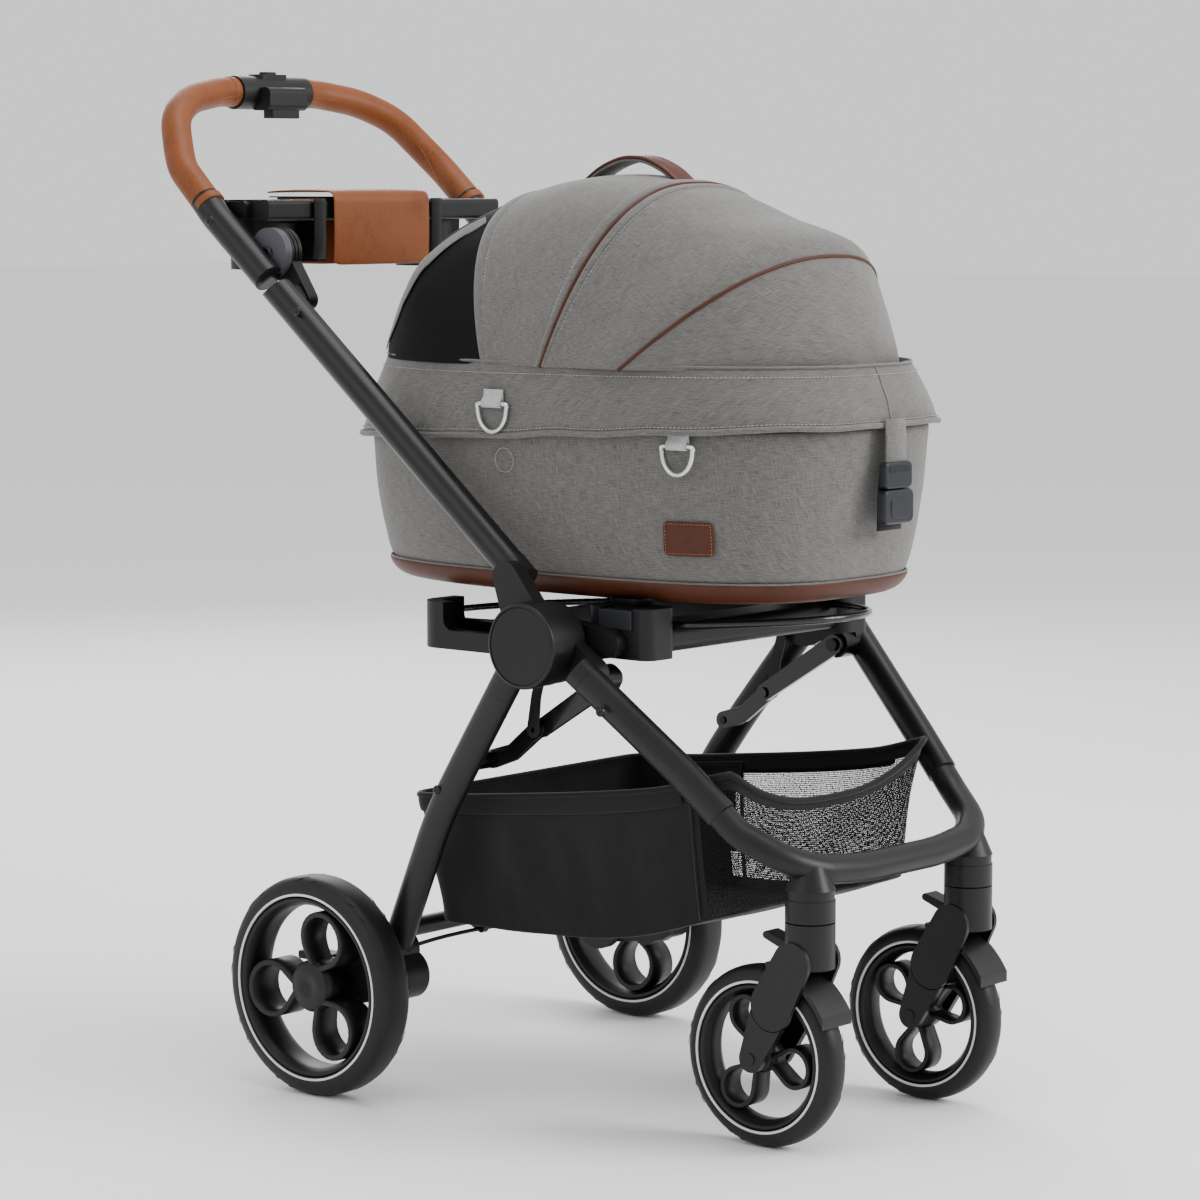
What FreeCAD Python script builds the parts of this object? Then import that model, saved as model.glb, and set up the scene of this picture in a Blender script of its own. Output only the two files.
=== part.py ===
import FreeCAD, Part
import math
import os

# A folding pet-carrier stroller: a tube chassis with a lift-off soft pod.
# Millimetres. X runs across (the user's right hand is -X), the front faces -Y,
# Z is up and the wheels stand on Z = 0. Inside this file Y = 0 is the rear axle;
# the finished pieces are moved so that the origin lies under the middle of the object.

V = FreeCAD.Vector

# ---- driving dimensions -------------------------------------------------------
REAR_WHEEL_R = 118.0
REAR_WHEEL_W = 44.0
REAR_WHEEL_X = 264.0        # middle of a rear wheel
FRONT_WHEEL_R = 93.2
FRONT_WHEEL_W = 34.0
CASTER_X = 136.6            # middle of a front wheel and of its swivel stem
WHEELBASE = 504.4           # front axle ahead of the rear axle
CASTER_TRAIL = 54.3         # stem ahead of the front axle
STEM_R = 25.4               # outside of the swivel body
STEM_SEAM_H = 143.2         # swivel seam above the front axle
BOW_H = 188.0               # middle of the front bow above the front axle

HUB_Y = -284.0              # fold axis
HUB_Z = 502.0
HUB_R = 44.0
HUB_OUT_X = 262.0           # outer face of the hub
HUB_LAYER = 17.5            # each of the three castings on the fold pin
LAYER_GAP = 0.5
PIN_R = 8.0
RUN_FIT = 0.05              # radial clearance of a turning fit
BODY_GAP = 0.4              # between pieces that move past each other

PUSH_ANGLE = 39.1           # rise of the push tubes, degrees
PUSH_OFFSET = 29.0          # tube line above the fold axis
PUSH_TUBE_R = 16.5
PUSH_LOW_X = 221.0
PUSH_TOP_X = 212.0
PUSH_SLEEVE = (62.0, 86.0)  # socket for the tube, along its line
KNUCKLE_S = 566.0           # handle-angle axis, along and above the tube line
KNUCKLE_RISE = 14.0
KNUCKLE_R = 27.0
KNUCKLE_CUT_R = 46.0        # where the lower tube stops short of the axis
HANDLE_REAR_Y = 330.0       # the crossbar of the handle
HANDLE_TOP_Z = 1069.0
GRIP_WALL = 2.2
HOUSING_HALF = 55.0
HOUSING_WALL = 2.5          # the release housing stands this far out of the tube

LEG_SEMI_X = 15.0           # oval leg tubes
LEG_SEMI_N = 17.0
REAR_LEG_SEMI_X = 13.0
REAR_LEG_SEMI_N = 17.0
REAR_LEG_TOP_X = 240.0
REAR_LEG_LOW_X = 222.0
AXLE_R = 6.0

FRAME_FOLD_MAX = 105.0      # the push frame swings this far over the pod

POD_Y = -230.0              # middle of the pod
POD_HALF_L = 316.0
POD_HALF_W = 187.0
POD_FLOOR_Z = 547.0
POD_BAND_H = 19.0
POD_TUB_TOP_Z = 722.0
POD_WALL = 6.0
HEM_Z_REAR = 697.0
HEM_Z_FRONT = 726.0
HEM_FLARE = 8.0
SKIRT_TOP_Z = 785.0
FABRIC = 3.0
CANOPY_PIVOT_Y = -215.0
CANOPY_PIVOT_Z = 660.0
VISOR_ANGLE = 138.0         # hoop between the fixed canopy and its front panel

# ---- worked-out places --------------------------------------------------------
FRONT_AXLE_Y = -WHEELBASE
FRONT_AXLE_Z = FRONT_WHEEL_R
STEM_Y = FRONT_AXLE_Y - CASTER_TRAIL
STEM_SEAM_Z = FRONT_AXLE_Z + STEM_SEAM_H
BOW_Z = FRONT_AXLE_Z + BOW_H
REAR_AXLE_Z = REAR_WHEEL_R
FRONT_END_Y = FRONT_AXLE_Y - FRONT_WHEEL_R
REAR_END_Y = HANDLE_REAR_Y + PUSH_TUBE_R + HOUSING_WALL
ORIGIN_SHIFT = V(0, -(FRONT_END_Y + REAR_END_Y) / 2, 0)

REAR_LAYER = (HUB_OUT_X - HUB_LAYER, HUB_OUT_X)
PUSH_LAYER = (REAR_LAYER[0] - LAYER_GAP - HUB_LAYER, REAR_LAYER[0] - LAYER_GAP)
LEG_LAYER = (PUSH_LAYER[0] - LAYER_GAP - HUB_LAYER, PUSH_LAYER[0] - LAYER_GAP)
STUB_X = LEG_LAYER[0] - 5.0   # inner end of the boss that carries the platform

ALONG = V(0, math.cos(math.radians(PUSH_ANGLE)), math.sin(math.radians(PUSH_ANGLE)))
ABOVE = V(0, -math.sin(math.radians(PUSH_ANGLE)), math.cos(math.radians(PUSH_ANGLE)))
HUB = V(0, HUB_Y, HUB_Z)


# ---- small helpers --------------------------------------------------------------
def on_push(s, n, x=0.0):
    """A point s along the push tube's line and n above the fold axis."""
    return HUB + ALONG * s + ABOVE * n + V(x, 0, 0)


def push_x(s):
    """How far out the push tube's middle is, s along its line."""
    share = (s - PUSH_SLEEVE[0]) / (KNUCKLE_S + 100.0 - PUSH_SLEEVE[0])
    return PUSH_LOW_X + (PUSH_TOP_X - PUSH_LOW_X) * share


KNUCKLE = on_push(KNUCKLE_S, PUSH_OFFSET + KNUCKLE_RISE)


def disc(x0, x1, y, z, r):
    return Part.makeCylinder(r, abs(x1 - x0), V(min(x0, x1), y, z), V(1, 0, 0))


def block(x0, x1, y0, y1, z0, z1):
    size = (abs(x1 - x0), abs(y1 - y0), abs(z1 - z0))
    return Part.makeBox(*size, V(min(x0, x1), min(y0, y1), min(z0, z1)))


def rounded_block(x0, x1, y0, y1, z0, z1, r, axis="z"):
    """A block whose four edges along one axis are rounded."""
    solid = block(x0, x1, y0, y1, z0, z1)
    place = "xyz".index(axis)
    edges = []
    for edge in solid.Edges:
        d = edge.Vertexes[1].Point - edge.Vertexes[0].Point
        if abs(abs((d.x, d.y, d.z)[place]) - d.Length) < 1e-6:
            edges.append(edge)
    return solid.makeFillet(r, edges)


def hull_face(p, q, rp, rq, x):
    """The outline round two circles in a plane of constant X, as a face."""
    d = q - p
    length = d.Length
    base = math.atan2(d.z, d.y)
    lean = math.acos((rp - rq) / length)

    def at(c, r, angle):
        return V(x, c.y + r * math.cos(angle), c.z + r * math.sin(angle))

    up, down = base + lean, base - lean
    edges = [
        Part.LineSegment(at(p, rp, up), at(q, rq, up)).toShape(),
        Part.Arc(at(q, rq, up), at(q, rq, base), at(q, rq, down)).toShape(),
        Part.LineSegment(at(q, rq, down), at(p, rp, down)).toShape(),
        Part.Arc(at(p, rp, down), at(p, rp, base + math.pi), at(p, rp, up)).toShape(),
    ]
    return Part.Face(Part.Wire(edges))


def link_plate(p, q, rp, rq, x0, x1):
    """A flat lever: the hull of two circles, x0 to x1 thick."""
    return hull_face(p, q, rp, rq, min(x0, x1)).extrude(V(abs(x1 - x0), 0, 0))


def rounded_route(points, share=0.45):
    """Straight runs joined by tangent arcs, each as large as its runs allow."""
    edges = []
    start = points[0]
    for before, corner, after in zip(points, points[1:], points[2:]):
        a = before - corner
        b = after - corner
        reach = share * min(a.Length, b.Length)
        a.normalize()
        b.normalize()
        turn = math.pi - a.getAngle(b)
        radius = reach / math.tan(turn / 2)
        enter = corner + a * reach
        leave = corner + b * reach
        middle = a + b
        middle.normalize()
        sag = radius / math.cos(turn / 2) - radius
        edges.append(Part.LineSegment(start, enter).toShape())
        edges.append(Part.Arc(enter, corner + middle * sag, leave).toShape())
        start = leave
    edges.append(Part.LineSegment(start, points[-1]).toShape())
    return Part.Wire(edges)


def round_tube(points, r):
    """A round bar that follows a route."""
    direction = points[1] - points[0]
    ring = Part.Wire(Part.Circle(points[0], direction, r).toShape())
    return rounded_route(points).makePipeShell([ring], True, False)


def oval_tube(points, semi_x, semi_n):
    """An oval bar that follows a route close to a plane of constant X."""
    direction = points[1] - points[0]
    direction.normalize()
    tall = direction.cross(V(1, 0, 0))
    tall.normalize()
    wide = tall.cross(direction)
    c = points[0]
    if semi_n >= semi_x:
        outline = Part.Ellipse(c + tall * semi_n, c + wide * semi_x, c)
    else:
        outline = Part.Ellipse(c + wide * semi_x, c + tall * semi_n, c)
    return rounded_route(points).makePipeShell([Part.Wire(outline.toShape())], True, False)


def superellipse(front, rear, half_w, height, power=2.8, count=28):
    """A closed smooth outline in plan; height gives Z for each Y."""
    middle = (front + rear) / 2
    half_l = (rear - front) / 2
    points = []
    for i in range(count):
        a = 2 * math.pi * i / count
        c, s = math.cos(a), math.sin(a)
        x = half_w * math.copysign(abs(c) ** (2 / power), c)
        y = middle + half_l * math.copysign(abs(s) ** (2 / power), s)
        points.append(V(x, y, height(y)))
    curve = Part.BSplineCurve()
    curve.interpolate(points, PeriodicFlag=True)
    return Part.Wire(curve.toShape())


def level(z):
    return lambda y: z


def loft(wires):
    return Part.makeLoft(wires, True, False)


def mirrored(shape):
    return shape.mirror(V(0, 0, 0), V(1, 0, 0))


def both(shape):
    return Part.makeCompound([shape, mirrored(shape)])


def fused(first, *rest):
    return first.fuse(list(rest)).removeSplitter()


def turned(profile, y, z):
    """Revolve an (x, radius) outline about the wheel's axle."""
    points = [V(x, y, z + r) for x, r in profile]
    face = Part.Face(Part.makePolygon(points + [points[0]]))
    return face.revolve(V(0, y, z), V(1, 0, 0), 360)


# ---- front frame ----------------------------------------------------------------
LEG_TOP = V(-230, HUB_Y - 62, HUB_Z - 31)
LEG_LOW = V(-189, FRONT_AXLE_Y + 17.4, BOW_Z + 61)
LEG_TRAVEL = LEG_LOW - LEG_TOP
# the leg bends a little outwards of the straight line between its ends
LEG_ROUTE = [
    LEG_TOP,
    LEG_TOP + LEG_TRAVEL * 0.43 + V(1.5, -1, 1),
    LEG_TOP + LEG_TRAVEL * 0.76 + V(1.5, -1.5, 1),
    LEG_LOW,
]
LINK_FRONT_Y = HUB_Y - 60.0     # link pivot inside the front leg
LINK_FRONT_Z = HUB_Z - 33.7
LINK_BOSS_R = 15.0
LINK_PIN_R = 4.0
LINK_A_X = (184.0, 190.0)       # the two link layers
LINK_B_X = (190.5, 196.5)


def front_leg():
    return oval_tube(LEG_ROUTE, LEG_SEMI_X, LEG_SEMI_N)


def leg_socket():
    """Fixed hub casting with the collar for the front leg."""
    direction = LEG_ROUTE[1] - LEG_TOP
    direction.normalize()
    collar = oval_tube([LEG_TOP - direction * 14, LEG_TOP], LEG_SEMI_X, LEG_SEMI_N)
    wall = disc(-LEG_LAYER[1], -LEG_LAYER[0], HUB_Y, HUB_Z, HUB_R - 2)
    root = LEG_TOP - direction * 6
    web = link_plate(HUB, V(0, root.y, root.z), 26, 16, -LEG_LAYER[1], -LEG_LAYER[0])
    stub = disc(-LEG_LAYER[0], -STUB_X, HUB_Y, HUB_Z, 26)
    bore = disc(-HUB_OUT_X, -STUB_X + 1, HUB_Y, HUB_Z, PIN_R)
    return fused(collar, wall, web, stub).cut(bore).cut(front_leg())


def fold_pin():
    """The pin that the push casting and the rear casting turn on."""
    end = REAR_LAYER[0] + HUB_LAYER - 5 - LAYER_GAP
    return disc(-end, -STUB_X, HUB_Y, HUB_Z, PIN_R)


def link_boss():
    """Boss on the front leg with the pin of the front link."""
    inner = LINK_A_X[1] + BODY_GAP
    boss = disc(-(abs(LEG_TOP.x) - 2), -inner, LINK_FRONT_Y, LINK_FRONT_Z, LINK_BOSS_R)
    pin = disc(-inner, -(LINK_A_X[0] - 4), LINK_FRONT_Y, LINK_FRONT_Z, LINK_PIN_R)
    head = disc(-(LINK_A_X[0] - 0.5), -(LINK_A_X[0] - 4), LINK_FRONT_Y, LINK_FRONT_Z, 7)
    solid = fused(boss, pin, head)
    return solid.cut(front_leg()).cut(leg_socket())


BOW_SEMI_W = 16.0
BOW_SEMI_H = 12.0


def front_bow():
    """Moulded bow from leg to leg, over the two caster housings."""
    run = LEG_LOW - LEG_ROUTE[2]
    run.normalize()
    right = [
        LEG_LOW,
        LEG_LOW + run * 26,
        V(-163, STEM_Y + 15, BOW_Z + 20),
        V(-130, STEM_Y - 4, BOW_Z + 7),
        V(-66, STEM_Y - 11, BOW_Z + 1),
    ]
    left = [V(-p.x, p.y, p.z) for p in reversed(right)]
    return oval_tube(right + left, BOW_SEMI_W, BOW_SEMI_H + 2)


def caster_housing():
    """Upper collar that hangs from the bow and holds the swivel stem."""
    base = STEM_SEAM_Z + 0.7
    collar = Part.makeCylinder(STEM_R, 22, V(-CASTER_X, STEM_Y, base))
    band = Part.makeCylinder(STEM_R - 1, 10, V(-CASTER_X, STEM_Y, base + 22))
    height = BOW_Z + 12 - base - 32
    dome = Part.makeCone(STEM_R, 15, height, V(-CASTER_X, STEM_Y, base + 32))
    stem = Part.makeCylinder(PIN_R, 30, V(-CASTER_X, STEM_Y, base - 30))
    return fused(collar, band, dome, stem).cut(front_bow())


# ---- platform under the pod ---------------------------------------------------------
BOSS_X = 165.0
BOSS_Y = HUB_Y - 66.0
PLATFORM_HALF = STUB_X - 1.0
RING_R = 4.0
RING_HALF_L = 272.0
RING_HALF_W = 155.0
RING_TILT = 3.2
RING_Z = HUB_Z + 9.0


def ring_shape(r):
    """Oval wire that carries the pod, a little higher at the front."""
    middle = V(0, POD_Y - 3, RING_Z)
    path = Part.Ellipse(middle + V(0, RING_HALF_L, 0), middle + V(RING_HALF_W, 0, 0), middle)
    start = middle + V(0, RING_HALF_L, 0)
    section = Part.Wire(Part.Circle(start, V(1, 0, 0), r).toShape())
    ring = Part.Wire(path.toShape()).makePipeShell([section], True, False)
    ring.rotate(middle, V(1, 0, 0), -RING_TILT)
    return ring


def platform_beam():
    """Cross beam with an adapter boss each side, hung on the fold bosses."""
    top = HUB_Z + 18
    beam = rounded_block(-BOSS_X, BOSS_X, BOSS_Y - 32, BOSS_Y + 30, HUB_Z - 10, top, 10, "x")
    solid = beam
    for side in (-1, 1):
        x0, x1 = side * (BOSS_X - 24), side * (BOSS_X + 23)
        boss = rounded_block(x0, x1, BOSS_Y - 42, BOSS_Y + 42, HUB_Z - 14, top + 20, 14)
        arm = link_plate(HUB, V(0, BOSS_Y, HUB_Z + 2), 24, 14, side * 186, side * STUB_X)
        solid = solid.fuse([boss, arm])
    pocket = button_pocket()
    solid = solid.cut(pocket).cut(mirrored(pocket)).cut(ring_shape(RING_R + BODY_GAP))
    return solid.removeSplitter()


BUTTON_Y = BOSS_Y
BUTTON_HALF_L = 21.0
BUTTON_TRAVEL = 5.0
BUTTON_PROUD = 3.0          # out of the face of its boss


def button_pocket():
    """Pocket in the outer face of a boss that the release button slides in."""
    gap = 0.35
    outer = BOSS_X + 24 + BUTTON_PROUD
    return block(-outer, -(BOSS_X + 4), BUTTON_Y - BUTTON_HALF_L - gap,
                 BUTTON_Y + BUTTON_HALF_L + gap, HUB_Z + 16, HUB_Z + 39)


def adapter_button():
    face = BOSS_X + 23 + BUTTON_PROUD
    inner = BOSS_X + 4 + BUTTON_TRAVEL + 1
    return block(-face, -inner, BUTTON_Y - BUTTON_HALF_L, BUTTON_Y + BUTTON_HALF_L,
                 HUB_Z + 16.4, HUB_Z + 36)


def platform_tray():
    """Rear half of the platform: a shallow tray with a scooped back wall."""
    x, y0, y1 = PLATFORM_HALF - 14, HUB_Y + 32, HUB_Y + 212
    z0, z1 = HUB_Z - 22, HUB_Z + 27
    body = rounded_block(-x, x, y0, y1, z0, z1, 30)
    hollow = rounded_block(-x + 16, x - 16, y0 + 14, y1 - 14, z0 + 6, z1 + 5, 18)
    scoop = rounded_block(-x + 62, x - 62, y1 - 60, y1 + 5, z0 + 18, z1 + 40, 14, "y")
    solid = body.cut(hollow).cut(scoop)
    side = rounded_block(-x - 5, -x + 60, y0 + 50, y1 - 40, z0 + 20, z1 + 40, 12, "x")
    solid = solid.cut(side).cut(mirrored(side))
    for s in (-1, 1):
        arm = link_plate(HUB, V(0, y0 + 30, HUB_Z - 4), 22, 13, s * (x - 12), s * STUB_X)
        solid = solid.fuse(arm)
    solid = solid.cut(disc(-STUB_X - 1, STUB_X + 1, HUB_Y, HUB_Z, 24 + BODY_GAP))
    arms = [link_plate(HUB, V(0, BOSS_Y, HUB_Z + 2), 24 + BODY_GAP, 14 + BODY_GAP,
                       s * 185, s * (STUB_X + 1)) for s in (-1, 1)]
    solid = solid.cut(Part.makeCompound(arms))
    return solid.cut(ring_shape(RING_R + BODY_GAP)).removeSplitter()


# ---- push frame -----------------------------------------------------------------------
def push_tube_line(s0, s1):
    return [on_push(s0, PUSH_OFFSET, -push_x(s0)), on_push(s1, PUSH_OFFSET, -push_x(s1))]


def push_collar():
    """Turning hub casting with the socket of the push tube."""
    wall = disc(-PUSH_LAYER[1], -PUSH_LAYER[0], HUB_Y, HUB_Z, HUB_R - 1)
    foot = on_push(PUSH_SLEEVE[0] + 8, PUSH_OFFSET)
    web = link_plate(HUB, foot, 30, PUSH_TUBE_R, -PUSH_LAYER[1], -PUSH_LAYER[0])
    sleeve = round_tube_straight(*push_tube_line(*PUSH_SLEEVE), PUSH_TUBE_R + 0.6)
    bore = disc(-HUB_OUT_X, -STUB_X, HUB_Y, HUB_Z, PIN_R + RUN_FIT)
    return fused(wall, web, sleeve).cut(bore).cut(push_tube())


def round_tube_straight(a, b, r):
    return Part.makeCylinder(r, (b - a).Length, a, b - a)


def push_tube():
    """Lower tube, hollowed round the knuckle so that the handle can turn."""
    tube = round_tube_straight(*push_tube_line(PUSH_SLEEVE[1], KNUCKLE_S), PUSH_TUBE_R)
    clear = disc(-PUSH_LOW_X - 30, -PUSH_TOP_X + 30, KNUCKLE.y, KNUCKLE.z, KNUCKLE_CUT_R)
    return tube.cut(clear)


KNUCKLE_OUT = 203.0        # outer face of the plate that turns with the handle
KNUCKLE_MID = 193.0
KNUCKLE_IN = 178.0


def knuckle_fixed():
    """Ribbed disc on the lower tube, with the lug that joins it to the tube."""
    plate = disc(-KNUCKLE_MID + BODY_GAP, -KNUCKLE_IN, KNUCKLE.y, KNUCKLE.z, KNUCKLE_R)
    for i in range(2):
        x = -KNUCKLE_MID + 3.5 + 5.0 * i
        groove = disc(x, x + 1.6, KNUCKLE.y, KNUCKLE.z, KNUCKLE_R + 1)
        groove = groove.cut(disc(x, x + 1.6, KNUCKLE.y, KNUCKLE.z, KNUCKLE_R - 1.6))
        plate = plate.cut(groove)
    foot = on_push(KNUCKLE_S - 62, PUSH_OFFSET)
    arm = link_plate(KNUCKLE, foot, 16, 11, -KNUCKLE_MID + BODY_GAP, -KNUCKLE_IN)
    lug = link_plate(on_push(KNUCKLE_S - 52, PUSH_OFFSET + 2), foot, 9, 9,
                     -push_x(KNUCKLE_S - 62), -KNUCKLE_IN)
    clear = disc(-PUSH_LOW_X, -KNUCKLE_MID, KNUCKLE.y, KNUCKLE.z, KNUCKLE_CUT_R)
    bore = disc(-KNUCKLE_MID, -KNUCKLE_IN + 1, KNUCKLE.y, KNUCKLE.z, LINK_PIN_R + RUN_FIT)
    solid = fused(plate, arm, lug).cut(clear).cut(bore)
    return solid.cut(push_tube())


# ---- handle ------------------------------------------------------------------------------
UPPER_S0 = KNUCKLE_S - 26.0
GRIP_START = on_push(KNUCKLE_S + 104, PUSH_OFFSET + 3, -PUSH_TOP_X)
HANDLE_BEND = [
    GRIP_START + V(2, 36, 33),
    V(-200, HANDLE_REAR_Y - 62, HANDLE_TOP_Z - 68),
    V(-178, HANDLE_REAR_Y - 33, HANDLE_TOP_Z - 30),
    V(-136, HANDLE_REAR_Y - 12, HANDLE_TOP_Z - 9),
    V(-80, HANDLE_REAR_Y, HANDLE_TOP_Z),
]
HANDLE_MIDDLE = V(-HOUSING_HALF, HANDLE_REAR_Y, HANDLE_TOP_Z + 0.5)


def handle_half_route():
    low = on_push(UPPER_S0, PUSH_OFFSET, -push_x(UPPER_S0))
    high = on_push(KNUCKLE_S + 80, PUSH_OFFSET, -push_x(KNUCKLE_S + 80))
    return [low, high, GRIP_START] + HANDLE_BEND


def handle_tube():
    """The bent tube from one knuckle to the other, trimmed round the knuckles."""
    right = handle_half_route()
    left = [V(-p.x, p.y, p.z) for p in reversed(right)]
    tube = round_tube(right + left, PUSH_TUBE_R - GRIP_WALL)
    return tube


def tube_foot():
    """Thicker lower part of the handle tube, below the leather."""
    shell = round_tube(handle_half_route()[:3], PUSH_TUBE_R)
    reach = disc(-PUSH_LOW_X - 30, -PUSH_TOP_X + 30, KNUCKLE.y, KNUCKLE.z, KNUCKLE_CUT_R - 2)
    start = on_push(KNUCKLE_S, PUSH_OFFSET, -push_x(KNUCKLE_S))
    above = Part.makeCylinder(PUSH_TUBE_R + 9, 200, start, ALONG)
    return shell.common(fused(reach, above)).cut(handle_tube())


def knuckle_turning():
    """Outer disc of the knuckle with its bolt, fixed to the handle tube."""
    plate = disc(-KNUCKLE_OUT, -KNUCKLE_MID, KNUCKLE.y, KNUCKLE.z, KNUCKLE_R)
    bolt = disc(-KNUCKLE_MID, -KNUCKLE_IN + 3, KNUCKLE.y, KNUCKLE.z, LINK_PIN_R)
    head = disc(-KNUCKLE_OUT - 2.5, -KNUCKLE_OUT, KNUCKLE.y, KNUCKLE.z, 7)
    solid = fused(plate, bolt, head)
    return solid.cut(handle_tube()).cut(tube_foot())


def grip():
    """Leather sleeve from the bare tube to the release housing."""
    route = [GRIP_START] + HANDLE_BEND + [HANDLE_MIDDLE]
    sleeve = round_tube(route, PUSH_TUBE_R)
    return sleeve.cut(handle_tube()).cut(tube_foot())


SLIDER_TRAVEL = 6.0
TRIGGER_TRAVEL = 6.0


def release_housing():
    """Two-part moulding in the middle of the handle."""
    y, z = HANDLE_REAR_Y, HANDLE_TOP_Z
    r = PUSH_TUBE_R + HOUSING_WALL
    barrel = disc(-HOUSING_HALF + BODY_GAP, HOUSING_HALF - BODY_GAP, y, z, r)
    crown = rounded_block(-22, 22, y - 12, y + 12, z, z + r + 2, 6)
    chin = rounded_block(-30, 30, y - 34, y - 4, z - 20, z + 6, 7, "x")
    body = fused(barrel, crown, chin)
    slot = block(-9 - SLIDER_TRAVEL - BODY_GAP, 9 + BODY_GAP,
                 y - 6 - BODY_GAP, y + 6 + BODY_GAP, z + r - 4, z + r + 10)
    well = block(-23 - BODY_GAP, 23 + BODY_GAP, y - 30 - BODY_GAP, y - 14 + BODY_GAP,
                 z - 30, z - 20 + TRIGGER_TRAVEL + 5)
    return body.cut(slot).cut(well).cut(handle_tube())


def release_slider():
    y, z = HANDLE_REAR_Y, HANDLE_TOP_Z
    r = PUSH_TUBE_R + HOUSING_WALL
    return rounded_block(-9, 9, y - 6, y + 6, z + r - 4 + BODY_GAP, z + r + 5, 2.5)


def release_trigger():
    y, z = HANDLE_REAR_Y, HANDLE_TOP_Z
    return rounded_block(-23, 23, y - 30, y - 14, z - 29, z - 15.5, 4)


CONSOLE_Z = 941.0
CONSOLE_Y = 176.0
CONSOLE_FRONT = (-33.0, -19.0)  # front and rear rail, across the console
CONSOLE_REAR = (55.0, 66.0)
CONSOLE_TOP = 8.0
CONSOLE_DROP = 15.0
POUCH_X = (-91.0, 59.0)
POUCH_LOW = 878.0
POUCH_TOP = CONSOLE_Z + 10.0
CUP_R = 38.0
CUP_BORE_R = 34.0              # what a bottle slides into
CUP_WALL = 3.0
CUP_X = (-144.0, 120.0)
CUP_Y = CONSOLE_Y + (CONSOLE_FRONT[1] + CONSOLE_REAR[0]) / 2
CUP_DEPTH = 68.0


def console_frame():
    """Organiser rails with a cup on each side, clipped between the handle tubes."""
    half = PUSH_TOP_X - PUSH_TUBE_R - 1.0
    low, high = CONSOLE_Z - CONSOLE_DROP, CONSOLE_Z + CONSOLE_TOP
    y0, y1 = CONSOLE_Y + CONSOLE_FRONT[0], CONSOLE_Y + CONSOLE_REAR[1]
    x = half - 14
    front = rounded_block(-x, x, y0, CONSOLE_Y + CONSOLE_FRONT[1], low, high, 5, "x")
    rear = rounded_block(-x, x, CONSOLE_Y + CONSOLE_REAR[0], y1, low, high, 4, "x")
    solid = front.fuse(rear)
    for s in (-1, 1):
        end = rounded_block(s * (half - 22), s * (half - 8), y0, y1, low, high, 5, "x")
        clip = rounded_block(s * (half - 9), s * (half + 0.6), CONSOLE_Y - 6, CONSOLE_Y + 30,
                             low + 3, high - 2, 4, "x")
        solid = solid.fuse([end, clip])
    for x0, x1 in ((POUCH_X[0] - 14, POUCH_X[0] - 3), (POUCH_X[1] + 3, POUCH_X[1] + 14)):
        solid = solid.fuse(block(x0, x1, y0 + 6, y1 - 4, CONSOLE_Z - 60, high - 3))
    for x in CUP_X:
        z = CONSOLE_Z - CUP_DEPTH
        height = CUP_DEPTH + CONSOLE_TOP - 2
        solid = solid.fuse(Part.makeCone(CUP_R - 2, CUP_R, height, V(x, CUP_Y, z)))
    for x in CUP_X:
        z = CONSOLE_Z - CUP_DEPTH + CUP_WALL
        solid = solid.cut(Part.makeCylinder(CUP_BORE_R, CUP_DEPTH + CONSOLE_TOP, V(x, CUP_Y, z)))
    tube_room = round_tube(handle_half_route(), PUSH_TUBE_R)
    return solid.cut(tube_room).cut(mirrored(tube_room)).removeSplitter()


def pouch():
    """Open-topped leather pouch hung inside the rails."""
    x0, x1 = POUCH_X
    y0, y1 = CONSOLE_Y + CONSOLE_FRONT[1] + 0.5, CONSOLE_Y + CONSOLE_REAR[0] - 0.5
    outer = rounded_block(x0, x1, y0, y1, POUCH_LOW, POUCH_TOP, 8)
    inner = rounded_block(x0 + 3, x1 - 3, y0 + 3, y1 - 3, POUCH_LOW + 3, POUCH_TOP + 1, 5)
    return outer.cut(inner)


FLAP_T = 2.6
FLAP_LOW_Z = POUCH_TOP + 2.0
FLAP_FRONT = CONSOLE_Y + CONSOLE_FRONT[0] - 2.4 - FLAP_T
FLAP_HINGE_Y = CONSOLE_Y + CONSOLE_REAR[1]


def pouch_flap():
    """Leather flap: over the top from the rear rail and down the front."""
    x0, x1 = POUCH_X[0] - 2, POUCH_X[1] + 2
    top = FLAP_LOW_Z + FLAP_T
    lid = block(x0, x1, FLAP_FRONT, FLAP_HINGE_Y + 2, FLAP_LOW_Z, top)
    face = block(x0, x1, FLAP_FRONT, FLAP_FRONT + FLAP_T, POUCH_LOW - 2, top)
    return fused(lid, face)


# ---- rear frame ----------------------------------------------------------------------------
REAR_LEG_ROUTE = [
    V(-REAR_LEG_TOP_X, HUB_Y + 44, HUB_Z - 52),
    V(-231, HUB_Y + 102, REAR_AXLE_Z + 253),
    V(-226, HUB_Y + 144, REAR_AXLE_Z + 192),
    V(-REAR_LEG_LOW_X, HUB_Y + 213, REAR_AXLE_Z + 38),
]


def rear_leg():
    return oval_tube(REAR_LEG_ROUTE, REAR_LEG_SEMI_X, REAR_LEG_SEMI_N)


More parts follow.
